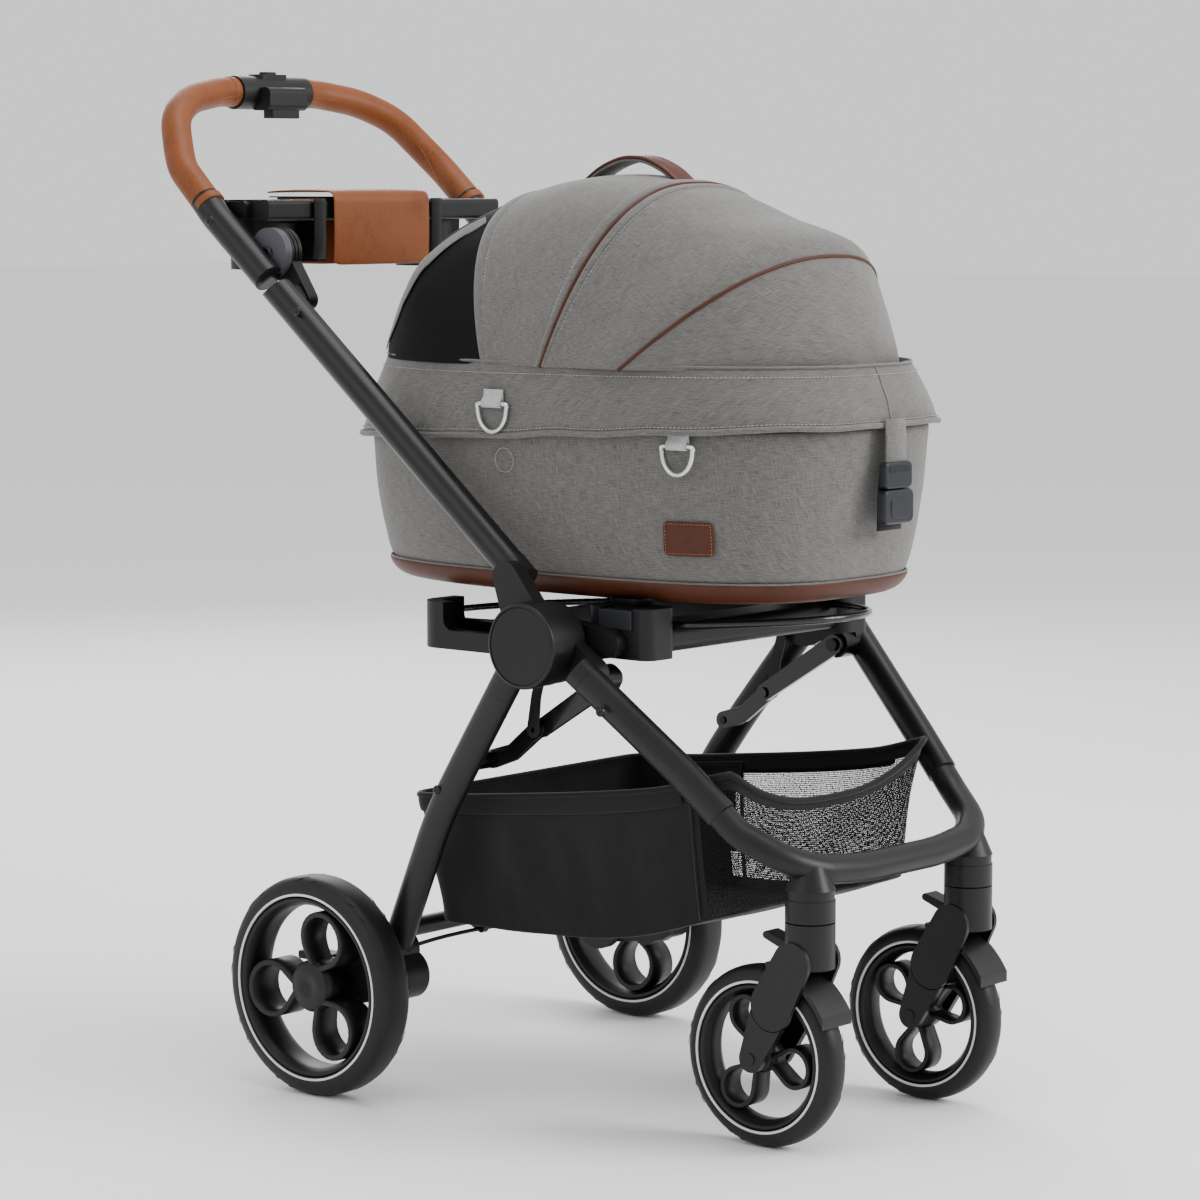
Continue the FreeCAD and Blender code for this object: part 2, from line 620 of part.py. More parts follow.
def hub_housing():
    """Outer hub casting with the collar of the rear leg."""
    wall = disc(-REAR_LAYER[1], -REAR_LAYER[0], HUB_Y, HUB_Z, HUB_R)
    edge = [e for e in wall.Edges if abs(e.CenterOfMass.x + REAR_LAYER[1]) < 0.1]
    wall = wall.makeFillet(3.5, edge)
    direction = REAR_LEG_ROUTE[1] - REAR_LEG_ROUTE[0]
    direction.normalize()
    top = REAR_LEG_ROUTE[0]
    collar = oval_tube([top - direction * 36, top], REAR_LEG_SEMI_X, REAR_LEG_SEMI_N)
    room = disc(-REAR_LAYER[0] - 0.01, 0, HUB_Y, HUB_Z, HUB_R + BODY_GAP)
    bore = disc(-REAR_LAYER[0] - HUB_LAYER + 5, 0, HUB_Y, HUB_Z, PIN_R + RUN_FIT)
    recess = disc(-REAR_LAYER[1] - 1, -REAR_LAYER[1] + 2, HUB_Y, HUB_Z, HUB_R - 4)
    return fused(wall, collar).cut(room).cut(bore).cut(recess)


def hub_cap():
    """Flush round cover in the face of the hub."""
    cap = disc(-REAR_LAYER[1] + 0.4, -REAR_LAYER[1] + 2, HUB_Y, HUB_Z, HUB_R - 4.3)
    return cap


CROSS_Y = HUB_Y + 209.0
CROSS_Z = REAR_AXLE_Z + 62.0
CROSS_R = 10.0


def rear_cross_tube():
    tube = disc(-REAR_LEG_LOW_X + 2, REAR_LEG_LOW_X - 2, CROSS_Y, CROSS_Z, CROSS_R)
    return tube.cut(both(rear_leg())).cut(both(axle_bracket()))


BRACKET_X = (204.0, 238.0)


def axle_bracket():
    """Moulded foot: takes the leg, the axle and the brake housing."""
    low = REAR_LEG_ROUTE[-1]
    x0, x1 = -BRACKET_X[1], -BRACKET_X[0]
    foot = link_plate(V(0, low.y - 8, REAR_AXLE_Z + 14), V(0, 0, REAR_AXLE_Z), 26, 24, x0, x1)
    sleeve = link_plate(V(0, low.y + 2, low.z + 2), V(0, low.y + 10, REAR_AXLE_Z), 22, 20, x0, x1)
    drum = disc(x1, x1 + 12, 0, REAR_AXLE_Z, 30)
    solid = fused(foot, sleeve, drum)
    axle = disc(-REAR_WHEEL_X, 0, 0, REAR_AXLE_Z, AXLE_R)
    slot = block(x1 - 1, x1 + 40, 8, 40, REAR_AXLE_Z + 14, REAR_AXLE_Z + 40)
    return solid.cut(rear_leg()).cut(axle).cut(slot).removeSplitter()


def rear_axle():
    return disc(-REAR_WHEEL_X - 16, -BRACKET_X[0] + 12, 0, REAR_AXLE_Z, AXLE_R)


PEDAL_Y = 46.0
PEDAL_Z_ABOVE_AXLE = 6.0


def pedal_mount():
    """Ears behind the right bracket that the brake pedal turns on."""
    z = REAR_AXLE_Z + PEDAL_Z_ABOVE_AXLE
    ears = []
    for x in (-BRACKET_X[0] - 1, -BRACKET_X[0] + 29):
        ears.append(link_plate(V(0, 10, z), V(0, PEDAL_Y, z), 12, 9, x - 5, x))
    axle = disc(-BRACKET_X[0] - 1, -BRACKET_X[0] + 24, PEDAL_Y, z, 3)
    tie = block(-BRACKET_X[0] - 6, -BRACKET_X[0] + 29, 4, 16, z - 8, z + 6)
    return fused(ears[0], ears[1], axle, tie).cut(rear_axle())


def brake_pedal():
    z = REAR_AXLE_Z + PEDAL_Z_ABOVE_AXLE
    x0, x1 = -BRACKET_X[0] - 1 + BODY_GAP, -BRACKET_X[0] + 24 - BODY_GAP
    pad = rounded_block(x0, x1, PEDAL_Y - 4, PEDAL_Y + 44, z + 2, z + 11, 3, "x")
    eye = disc(x0, x1, PEDAL_Y, z, 7.5)
    return fused(pad, eye).cut(disc(x0 - 1, x1 + 1, PEDAL_Y, z, 3 + RUN_FIT))


CABLE_R = 2.2
CABLE_MOUTH_X = BRACKET_X[0] + 3.0   # the cable starts this far inside its bracket
# the cable's points from the right bracket, under the basket, to the left bracket
CABLE_ROUTE = [
    (-CABLE_MOUTH_X, -52.0, 147.0),
    (-184.0, -65.0, 157.0),
    (-158.0, -78.0, 163.0),
    (-122.0, -85.0, 165.5),
    (-76.0, -87.5, 165.0),
    (-28.0, -89.0, 164.0),
    (22.0, -88.0, 164.5),
    (70.0, -89.0, 165.5),
    (116.0, -86.0, 165.5),
    (154.0, -79.0, 163.5),
    (182.0, -66.0, 157.5),
    (CABLE_MOUTH_X, -52.5, 147.0),
]
CLIP_X = (-100.0, 96.0)


def brake_cable():
    """The cable between the two brackets, which it meets face to face."""
    tube = round_tube([V(*p) for p in CABLE_ROUTE], CABLE_R)
    x = BRACKET_X[0]
    return tube.common(block(-x, x, CROSS_Y - 60, CROSS_Y + 60, REAR_AXLE_Z, REAR_AXLE_Z + 90))


def cable_clips():
    """Clips that hold the cable to the cross tube."""
    cable = V(0, -87.5, 165.3)
    bar = V(0, CROSS_Y, CROSS_Z)
    clips = [link_plate(bar, cable, CROSS_R + 2, CABLE_R + 2, x - 4, x + 4) for x in CLIP_X]
    return Part.makeCompound(clips).cut(brake_cable()).cut(rear_cross_tube())


def print_cable():
    """Print the bend radii and compare the volume with section times length."""
    route = rounded_route([V(*p) for p in CABLE_ROUTE])
    radii = [e.Curve.Radius for e in route.Edges if e.Curve.TypeId == "Part::GeomCircle"]
    print("brake cable: bend radii, mm:", " ".join("%.0f" % r for r in radii))
    volume = round_tube([V(*p) for p in CABLE_ROUTE], CABLE_R).Volume
    share = volume / (math.pi * CABLE_R ** 2 * route.Length)
    print("brake cable: length %.0f mm, volume / (section x length) %.4f" % (route.Length, share))


# ---- fold links ---------------------------------------------------------------------------------
LINK_MID_Y = HUB_Y + 35.4
LINK_MID_Z = HUB_Z - 94.3
LINK_REAR_Y = HUB_Y + 97.0
LINK_REAR_Z = HUB_Z - 131.0


def front_link():
    """Straight channel bar from the front leg's boss to the middle pivot."""
    a = V(0, LINK_FRONT_Y, LINK_FRONT_Z)
    b = V(0, LINK_MID_Y, LINK_MID_Z)
    bar = link_plate(a, b, 11, 9.5, -LINK_A_X[1], -LINK_A_X[0])
    bar = bar.cut(disc(-LINK_A_X[1] - 1, -LINK_A_X[0] + 1, a.y, a.z, LINK_PIN_R + RUN_FIT))
    head = disc(-LINK_A_X[0], -LINK_A_X[0] + 3, b.y, b.z, 6)
    return fused(bar, head)


def rear_link():
    """Curved arm from the middle pivot to the rear leg."""
    a = V(0, LINK_MID_Y, LINK_MID_Z)
    b = V(0, LINK_REAR_Y, LINK_REAR_Z)
    knee = V(0, (a.y + b.y) / 2 + 3, (a.z + b.z) / 2 - 9)
    x0, x1 = -LINK_B_X[1], -LINK_B_X[0]
    arm = fused(link_plate(a, knee, 9.5, 9, x0, x1), link_plate(knee, b, 9, 10, x0, x1))
    head = disc(x0 - 3, x0, a.y, a.z, 6)
    arm = fused(arm, head)
    return arm.cut(disc(x0 - 1, x1 + 1, b.y, b.z, LINK_PIN_R + RUN_FIT))


def rear_link_pin():
    """Pin on the inside of the rear leg for the rear link."""
    pin = disc(-228, -LINK_B_X[0] + 2, LINK_REAR_Y, LINK_REAR_Z, LINK_PIN_R)
    boss = disc(-228, -LINK_B_X[1] - BODY_GAP, LINK_REAR_Y, LINK_REAR_Z, 9)
    return fused(pin, boss).cut(rear_leg())


def fold_strap():
    """Flexible strap from the hub down to the middle pivot."""
    x0, x1 = -LINK_B_X[1] - 5.5, -LINK_B_X[1] - 4.0
    width = 6.5
    top = V(0, HUB_Y + 24, HUB_Z - 34)
    bend = V(0, HUB_Y + 31, HUB_Z - 60)
    low = V(0, LINK_MID_Y, LINK_MID_Z)
    strap = fused(link_plate(top, bend, width, width, x0, x1),
                  link_plate(bend, low, width, width + 1.5, x0, x1))
    return strap.cut(disc(x0 - 1, x1 + 1, low.y, low.z, 3))


# ---- wheels and casters -----------------------------------------------------------------------
SPOKES = 3


def tyre(x, y, r, width, bead_r):
    """Solid tyre with rounded shoulders."""
    half = width / 2
    profile = [
        (x - half + 3, bead_r), (x - half, bead_r + 4), (x - half + 1, r - 12),
        (x - half + 6, r - 4), (x - half * 0.45, r), (x + half * 0.45, r),
        (x + half - 6, r - 4), (x + half - 1, r - 12), (x + half, bead_r + 4),
        (x + half - 3, bead_r),
    ]
    return turned(profile, y, r)


def rim(x, y, r, bead_r, width, hub_r, first_angle, wall):
    """Deep rim with three looped spokes and a bored hub."""
    half = width / 2
    inner = bead_r - 9
    ring = turned([(x - half, bead_r), (x - half, inner + 3), (x - half + 5, inner),
                   (x + half - 5, inner), (x + half, inner + 3), (x + half, bead_r)], y, r)
    hub = disc(x - half, x + half, y, r, hub_r)
    solid = ring.fuse(hub)
    wide_r = (inner - hub_r) * 0.42
    far = inner + 2 - wide_r
    near = hub_r + 5
    for i in range(SPOKES):
        a = math.radians(first_angle + 360.0 / SPOKES * i)
        ray = V(0, math.cos(a), math.sin(a))
        tip = V(0, y, r) + ray * near
        wide = V(0, y, r) + ray * far
        depth = half - 3
        loop = link_plate(tip, wide, 9, wide_r, x - depth, x + depth)
        hole = link_plate(tip, wide, 9 - wall, wide_r - wall, x - depth - 1, x + depth + 1)
        solid = solid.fuse(loop.cut(hole.cut(hub)))
    bore = disc(x - half - 1, x + half + 1, y, r, AXLE_R + RUN_FIT)
    return solid.cut(bore).removeSplitter()


REAR_BEAD_R = REAR_WHEEL_R - 24
FRONT_BEAD_R = FRONT_WHEEL_R - 21


def rear_tyre():
    return tyre(-REAR_WHEEL_X, 0, REAR_WHEEL_R, REAR_WHEEL_W, REAR_BEAD_R)


def rear_rim():
    return rim(-REAR_WHEEL_X, 0, REAR_WHEEL_R, REAR_BEAD_R, REAR_WHEEL_W - 6, 25, 70, 4.5)


def front_tyre():
    return tyre(-CASTER_X, FRONT_AXLE_Y, FRONT_WHEEL_R, FRONT_WHEEL_W, FRONT_BEAD_R)


def front_rim():
    return rim(-CASTER_X, FRONT_AXLE_Y, FRONT_WHEEL_R, FRONT_BEAD_R, FRONT_WHEEL_W - 4, 16, 140, 4)


FORK_GAP = FRONT_WHEEL_W / 2 + 2.5
TONGUE_T = 2.8
CHEEK_T = 8.0
ARM_PIVOT = V(0, FRONT_AXLE_Y - 25.6, FRONT_AXLE_Z + 56.8)
CHEEK_R = 25.0


def cheek_layers(side):
    """X of the wheel-side face, the step and the outer face of one cheek."""
    return [-CASTER_X + side * d for d in (FORK_GAP, FORK_GAP + TONGUE_T, FORK_GAP + CHEEK_T)]


def caster_fork():
    """Swivel body with two cheeks and a short hood over the wheel."""
    top = STEM_SEAM_Z - 0.7
    low = FRONT_AXLE_Z + FRONT_WHEEL_R + 3.5
    barrel = Part.makeCylinder(STEM_R, top - low, V(-CASTER_X, STEM_Y, low))
    hood = disc(-CASTER_X - 24, -CASTER_X + 24, FRONT_AXLE_Y, FRONT_AXLE_Z, FRONT_WHEEL_R + 9)
    hood = hood.cut(disc(-CASTER_X - 30, -CASTER_X + 30, FRONT_AXLE_Y, FRONT_AXLE_Z,
                         FRONT_WHEEL_R + 4))
    window = block(-CASTER_X - 40, -CASTER_X + 40, STEM_Y - 34, STEM_Y + 38,
                   FRONT_AXLE_Z + 40, top)
    solid = fused(barrel, hood.common(window))
    step = BODY_GAP
    for side in (-1, 1):
        near, mid, out = cheek_layers(side)
        head = V(0, STEM_Y + 4, low + 6)
        cheek = link_plate(head, ARM_PIVOT, 22, CHEEK_R, mid + side * step, out)
        pin = disc(mid + side * step, near, ARM_PIVOT.y, ARM_PIVOT.z, LINK_PIN_R)
        solid = solid.fuse([cheek, pin])
    bore = Part.makeCylinder(PIN_R + RUN_FIT, 31, V(-CASTER_X, STEM_Y, top - 30))
    pocket = block(-CASTER_X - 11 - BODY_GAP, -CASTER_X + 11 + BODY_GAP, STEM_Y + 15,
                   STEM_Y + 40, LOCK_Z - 10, LOCK_Z + 12)
    return solid.cut(bore).cut(pocket).removeSplitter()


LOCK_Z = STEM_SEAM_Z - 27.0
LOCK_Y = STEM_Y + 22.0


def swivel_lock():
    """Small lever behind the swivel body."""
    x0, x1 = -CASTER_X - 11, -CASTER_X + 11
    lever = link_plate(V(0, LOCK_Y, LOCK_Z), V(0, LOCK_Y + 26, LOCK_Z + 9), 5, 4, x0, x1)
    return lever


def caster_arm():
    """Sprung lower arm that holds the wheel, with its axle."""
    axle = V(0, FRONT_AXLE_Y, FRONT_AXLE_Z)
    solids = []
    for side in (-1, 1):
        near, mid, out = cheek_layers(side)
        tongue = link_plate(ARM_PIVOT, axle, 14, 13, near, mid)
        plate = link_plate(ARM_PIVOT, axle, CHEEK_R - 2, 14, near, out)
        room = disc(near - side * 1, out + side * 1, ARM_PIVOT.y, ARM_PIVOT.z, CHEEK_R + 0.8)
        cheek = plate.cut(room).fuse(tongue)
        cheek = cheek.cut(disc(near - side * 1, mid + side * 1, ARM_PIVOT.y, ARM_PIVOT.z,
                               LINK_PIN_R + RUN_FIT))
        solids.append(cheek)
    reach = FORK_GAP + CHEEK_T + 1.5
    shaft = disc(-CASTER_X - reach, -CASTER_X + reach, axle.y, axle.z, AXLE_R)
    return fused(shaft, *solids)


# ---- basket -----------------------------------------------------------------------------------------
def basket_sheet(grow, drop, lift):
    """Closed body of the basket; grow moves its walls out, drop and lift its ends."""
    def slope(z_rear, z_front):
        rear, front = HUB_Y + 190, HUB_Y - 190
        return lambda y: z_front + (z_rear - z_front) * (y - front) / (rear - front)
    low = slope(REAR_AXLE_Z + 66, REAR_AXLE_Z + 110)
    middle = slope(REAR_AXLE_Z + 130, REAR_AXLE_Z + 180)
    high = slope(REAR_AXLE_Z + 205, REAR_AXLE_Z + 268)
    spans = [
        (low, -452, -112, 158, -drop),
        (middle, -470, -97, 172, 0),
        (high, -478, -74, 184, lift),
    ]
    wires = []
    for height, front, rear, half_w, extra in spans:
        wires.append(superellipse(front - grow, rear + grow, half_w + grow,
                                  lambda y, h=height, e=extra: h(y) + e, 5.0))
    return loft(wires)


def basket():
    return basket_sheet(0, 0, 0).cut(basket_sheet(-FABRIC, -FABRIC, 1))


# ---- pod --------------------------------------------------------------------------------------------
def pod_section(z, shrink, power=3.0):
    """Outline of the tub wall at a height; it widens slowly upwards."""
    share = (z - POD_FLOOR_Z) / (POD_TUB_TOP_Z - POD_FLOOR_Z)
    tuck = 9.0 * max(0.0, 1 - (z - POD_FLOOR_Z) / POD_BAND_H) ** 2
    half_l = POD_HALF_L - 20 * (1 - share) - tuck - shrink
    half_w = POD_HALF_W - 10 * (1 - share) - tuck - shrink
    return superellipse(POD_Y - half_l, POD_Y + half_l, half_w, level(z), power)


def pod_band():
    """Leather-clad base tray of the pod."""
    top = POD_FLOOR_Z + POD_BAND_H
    outer = loft([pod_section(POD_FLOOR_Z, 0), pod_section(POD_FLOOR_Z + 8, 0),
                  pod_section(top, 0)])
    inner = loft([pod_section(POD_FLOOR_Z + 5, POD_WALL), pod_section(top + 1, POD_WALL)])
    foot_z = HUB_Z + 38 + BODY_GAP
    foot = rounded_block(-BOSS_X - 14, -BOSS_X + 16, BOSS_Y - 22, BOSS_Y + 22,
                         foot_z, POD_FLOOR_Z + 2, 6)
    return fused(outer, foot, mirrored(foot)).cut(inner)


def pod_tub():
    """Fabric wall of the pod, open at the top."""
    low = POD_FLOOR_Z + POD_BAND_H + 0.2
    middle = (low + POD_TUB_TOP_Z) / 2
    outer = loft([pod_section(z, 0) for z in (low, middle, POD_TUB_TOP_Z)])
    inner = loft([pod_section(z, POD_WALL) for z in (low - 1, middle, POD_TUB_TOP_Z + 1)])
    return outer.cut(inner)


PAD_T = 34.0


def pod_pad():
    """Mattress on the floor of the pod."""
    low = POD_FLOOR_Z + 5.5
    return loft([pod_section(z, POD_WALL + 4) for z in (low, low + PAD_T / 2, low + PAD_T)])


def skirt_wire(share, shrink, lift):
    """Outline of the skirt: share 0 is the flared hem, 1 the zipped top edge."""
    half_l = POD_HALF_L + 2 + HEM_FLARE * (1 - share) - 6 * share - shrink
    half_w = POD_HALF_W + HEM_FLARE * (1 - share) + 1 * share - shrink

    def height(y):
        along = (POD_Y + half_l - y) / (2 * half_l)
        hem = HEM_Z_REAR + (HEM_Z_FRONT - HEM_Z_REAR) * along
        return hem + (SKIRT_TOP_Z - hem) * share + lift
    return superellipse(POD_Y - half_l, POD_Y + half_l, half_w, height, 3.0)


def pod_skirt():
    outer = loft([skirt_wire(0, 0, 0), skirt_wire(0.5, 0, 0), skirt_wire(1, 0, 0)])
    inner = loft([skirt_wire(0, FABRIC, -1), skirt_wire(0.5, FABRIC, 0), skirt_wire(1, FABRIC, 1)])
    return outer.cut(inner)


# height, front, rear and half width of the canopy's level outlines
CANOPY_LEVELS = [
    (0.0, -534, 78, 187),
    (40.0, -536, 62, 178),
    (80.0, -533, 38, 165),
    (110.0, -519, 8, 148),
    (135.0, -474, -27, 126),
    (157.0, -392, -72, 98),
    (173.0, -340, -112, 64),
    (183.0, -290, -160, 30),
]


def canopy_body(shrink, base_drop):
    wires = []
    for i, (h, front, rear, half_w) in enumerate(CANOPY_LEVELS):
        z = SKIRT_TOP_Z + 0.4 + h - (base_drop if i == 0 else 0)
        if i:
            z -= shrink * h / CANOPY_LEVELS[-1][0]
        power = 3.0 - 0.7 * h / CANOPY_LEVELS[-1][0]
        wires.append(superellipse(front + shrink, rear - shrink, half_w - shrink, level(z), power))
    return loft(wires)


def visor_side(gap):
    """Everything ahead of the hoop that the front panel turns with."""
    reach = 700.0
    room = Part.makeBox(2 * reach, reach, 2 * reach, V(-reach, 0, -reach))
    room.translate(V(0, gap, 0))
    room.rotate(V(0, 0, 0), V(1, 0, 0), VISOR_ANGLE + 90)
    room.translate(V(0, CANOPY_PIVOT_Y, CANOPY_PIVOT_Z))
    return room


def canopy_shell():
    return canopy_body(0, 0).cut(canopy_body(FABRIC, 1))


def carry_strap():
    """Arched carrying strap on top of the pod."""
    foot_r, foot_f, apex = -157.0, -285.0, -224.0
    low, high = SKIRT_TOP_Z + 184.5, SKIRT_TOP_Z + 211
    outer = Part.Arc(V(-17, foot_r, low), V(-17, apex, high), V(-17, foot_f, low)).toShape()
    inner = Part.Arc(V(-17, foot_f + 7, low), V(-17, apex, high - 4.5),
                     V(-17, foot_r - 7, low)).toShape()
    ends = [Part.LineSegment(V(-17, foot_f, low), V(-17, foot_f + 7, low)).toShape(),
            Part.LineSegment(V(-17, foot_r - 7, low), V(-17, foot_r, low)).toShape()]
    face = Part.Face(Part.Wire([outer, ends[0], inner, ends[1]]))
    return face.extrude(V(34, 0, 0))


def d_ring(x, y, z, size):
    """A D-shaped wire ring that hangs from its straight bar."""
    r = 2.0
    half = size / 2
    bar = Part.makeCylinder(r, size, V(x, y - half, z), V(0, 1, 0))
    bow = Part.Wire(Part.Arc(V(x, y - half, z), V(x, y, z - size * 0.85), V(x, y + half, z)).toShape())
    start = V(x, y - half, z)
    tangent = bow.Edges[0].tangentAt(bow.Edges[0].FirstParameter)
    section = Part.Wire(Part.Circle(start, tangent, r).toShape())
    return fused(bar, bow.makePipeShell([section], True, False))


def front_buckle():
    """Side-release buckle on the front strap, as a socket and a plug."""
    y = POD_Y - POD_HALF_L - 12
    socket = rounded_block(-19, 19, y - 8, y + 2, 640, 668, 3, "x")
    plug = rounded_block(-17, 17, y - 7, y + 1, 668.2, 690, 3, "x")
    return Part.makeCompound([socket, plug])


RING_REAR = (-(POD_HALF_W + HEM_FLARE + 2.6), -190.0, 741.0, 34.0)
RING_FRONT = (-(POD_HALF_W - 9.0), -420.0, 706.0, 34.0)


# ---- pieces ---------------------------------------------------------------------------------------------
def pieces():
    """Every named piece, in the rear-axle frame."""
    out = {}
    out["front_leg_right"] = front_leg()
    out["leg_sockets"] = both(leg_socket())
    out["fold_pins"] = Part.makeCompound([both(fold_pin()), both(link_boss())])
    out["front_bow"] = front_bow()
    out["caster_housings"] = both(caster_housing())
    out["platform_beam"] = platform_beam()
    out["platform_tray"] = platform_tray()
    out["platform_ring"] = ring_shape(RING_R)
    out["adapter_button_right"] = adapter_button()
    out["push_tubes"] = both(push_tube())
    out["push_collars"] = both(push_collar())
    out["knuckle_inner_discs"] = both(knuckle_fixed())
    out["handle_tube"] = Part.makeCompound([handle_tube(), both(tube_foot())])
    out["knuckle_outer_discs"] = both(knuckle_turning())
    out["handle_grips"] = both(grip())
    out["release_housing"] = release_housing()
    out["release_slider"] = release_slider()
    out["release_trigger"] = release_trigger()
    out["console_frame"] = console_frame()
    out["pouch"] = pouch()
    out["pouch_flap"] = pouch_flap()
    out["rear_leg_right"] = rear_leg()
    out["hub_housings"] = both(hub_housing())
    out["hub_caps"] = both(hub_cap())
    out["rear_cross_tube"] = Part.makeCompound([rear_cross_tube(), cable_clips()])
    out["axle_brackets"] = Part.makeCompound([both(axle_bracket()), pedal_mount()])
    out["rear_pins"] = Part.makeCompound([both(rear_axle()), both(rear_link_pin())])
    out["brake_pedal"] = brake_pedal()
    out["brake_cable"] = brake_cable()
    out["front_links"] = both(front_link())
    out["rear_links"] = both(rear_link())
    out["fold_straps"] = both(fold_strap())
    out["rear_tyre_right"] = rear_tyre()
    out["rear_rim_right"] = rear_rim()
    out["front_tyre_right"] = front_tyre()
    out["front_rim_right"] = front_rim()
    out["caster_fork_right"] = caster_fork()
    out["caster_arm_right"] = caster_arm()
    out["swivel_lock_right"] = swivel_lock()
    for name in list(out):
        if name.endswith("_right"):
            out[name[:-5] + "left"] = mirrored(out[name])
    out["basket"] = basket()
    out["pod_band"] = pod_band()
    out["pod_tub"] = pod_tub()
    out["pod_pad"] = pod_pad()
    out["pod_skirt"] = pod_skirt()
    shell = canopy_shell()
    out["canopy_shell"] = shell.cut(visor_side(-0.6))
    out["canopy_front"] = shell.common(visor_side(0))
    out["carry_strap"] = carry_strap()
    out["d_ring_rear"] = d_ring(*RING_REAR)
    out["d_ring_front"] = d_ring(*RING_FRONT)
    out["front_buckle"] = front_buckle()
    return out


def write():
    os.makedirs("parts", exist_ok=True)
    for name, shape in pieces().items():
        shape.translate(ORIGIN_SHIFT)
        shape.exportStep("parts/" + name + ".step")
    print_cable()


if __name__ == "__main__":
    write()
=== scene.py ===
import math

import bpy
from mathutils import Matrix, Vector, noise


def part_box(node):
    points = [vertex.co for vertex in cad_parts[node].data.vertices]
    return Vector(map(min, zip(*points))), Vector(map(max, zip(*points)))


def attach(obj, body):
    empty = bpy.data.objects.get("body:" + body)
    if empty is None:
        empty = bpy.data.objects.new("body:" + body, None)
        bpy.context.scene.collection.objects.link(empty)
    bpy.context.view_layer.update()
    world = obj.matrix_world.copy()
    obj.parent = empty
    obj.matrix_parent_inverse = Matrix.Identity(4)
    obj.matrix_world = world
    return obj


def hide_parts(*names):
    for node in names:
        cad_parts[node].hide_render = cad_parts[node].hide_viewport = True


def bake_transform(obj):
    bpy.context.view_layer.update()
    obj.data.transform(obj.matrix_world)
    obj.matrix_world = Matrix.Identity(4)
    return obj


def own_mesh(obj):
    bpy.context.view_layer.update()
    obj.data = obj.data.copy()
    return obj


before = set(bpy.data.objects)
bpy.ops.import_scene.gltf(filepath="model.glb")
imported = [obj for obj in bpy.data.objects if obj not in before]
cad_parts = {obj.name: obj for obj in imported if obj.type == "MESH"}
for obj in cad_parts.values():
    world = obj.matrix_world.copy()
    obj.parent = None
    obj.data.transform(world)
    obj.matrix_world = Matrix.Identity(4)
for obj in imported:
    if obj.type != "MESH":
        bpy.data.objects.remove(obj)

# Looks of a folding stroller with a lift-off fabric pod. Sizes are millimetres measured
# from the rear axle's middle on the floor: X across, -Y the way it travels, Z up.

bl_info = {
    "name": "Stroller with lift-off pod",
    "version": (1, 0, 0),
    "blender": (4, 5, 0),
    "location": "View3D > Sidebar > Stroller",
    "description": "Builds the fabric, leather, wheels and finishes round a stroller frame",
    "category": "Object",
}

MM = 0.001
_low, _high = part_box("rear_tyre_right")
AXLE_Y = (_low.y + _high.y) / 2
REAR_R = (_high.z - _low.z) / 2 / MM
REAR_X = (_low.x + _high.x) / 2 / MM
REAR_W = (_high.x - _low.x) / MM
_low, _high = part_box("front_tyre_right")
FRONT_R = (_high.z - _low.z) / 2 / MM
FRONT_X = (_low.x + _high.x) / 2 / MM
FRONT_Y = ((_low.y + _high.y) / 2 - AXLE_Y) / MM
FRONT_W = (_high.x - _low.x) / MM
_low, _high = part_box("pod_tub")
POD_Y = ((_low.y + _high.y) / 2 - AXLE_Y) / MM
POD_HALF_L = (_high.y - _low.y) / 2 / MM
POD_HALF_W = (_high.x - _low.x) / 2 / MM
TUB_TOP = _high.z / MM
POD_FLOOR = 547.0
_low, _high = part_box("pod_skirt")
SKIRT_TOP = _high.z / MM
SKIRT_HALF_L = (_high.y - _low.y) / 2 / MM


# ---- meshes -------------------------------------------------------------------------
def at(p):
    """A point in millimetres from the rear axle, as a place in the frame."""
    return Vector((p[0] * MM, p[1] * MM + AXLE_Y, p[2] * MM))


def new_object(name, mesh, finish, body):
    obj = bpy.data.objects.new(name, mesh)
    bpy.context.scene.collection.objects.link(obj)
    if finish:
        mesh.materials.append(material(finish))
    if body:
        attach(obj, body)
    return obj


def build(name, points, faces, finish, body, uvs=None, smooth=True):
    """A mesh piece from points in millimetres; uvs holds one pair for each face corner."""
    mesh = bpy.data.meshes.new(name)
    mesh.from_pydata([at(p) for p in points], [], faces)
    if uvs:
        layer = mesh.uv_layers.new(name="cut")
        for loop, uv in zip(layer.data, uvs):
            loop.uv = uv
    mesh.polygons.foreach_set("use_smooth", [smooth] * len(mesh.polygons))
    mesh.update()
    return new_object(name, mesh, finish, body)


def grid(rows, loop=False, ring=False, caps=False):
    """Points, faces and flat millimetre UVs of a grid; loop closes each row, ring the rows."""
    count = len(rows[0])
    points = [p for row in rows for p in row]
    across = [[0.0] for row in rows]
    for row, run in zip(rows, across):
        for a, b in zip(row, row[1:] + row[:1]):
            run.append(run[-1] + (Vector(b) - Vector(a)).length)
    down = [0.0]
    middle = count // 2
    for a, b in zip(rows, rows[1:] + rows[:1]):
        down.append(down[-1] + (Vector(b[middle]) - Vector(a[middle])).length)
    faces, uvs = [], []
    for i in range(len(rows) if ring else len(rows) - 1):
        k = (i + 1) % len(rows)
        for j in range(count if loop else count - 1):
            m = (j + 1) % count
            faces.append((i * count + j, i * count + m, k * count + m, k * count + j))
            for row, col, v in ((i, j, i), (i, j + 1, i), (k, j + 1, i + 1), (k, j, i + 1)):
                uvs.append((across[row][col] * MM, down[v] * MM))
    if caps:
        for row, turn in ((0, -1), (len(rows) - 1, 1)):
            ids = [row * count + j for j in range(count)]
            faces.append(tuple(ids[::turn]))
            uvs += [(0.0, 0.0)] * count
    return points, faces, uvs


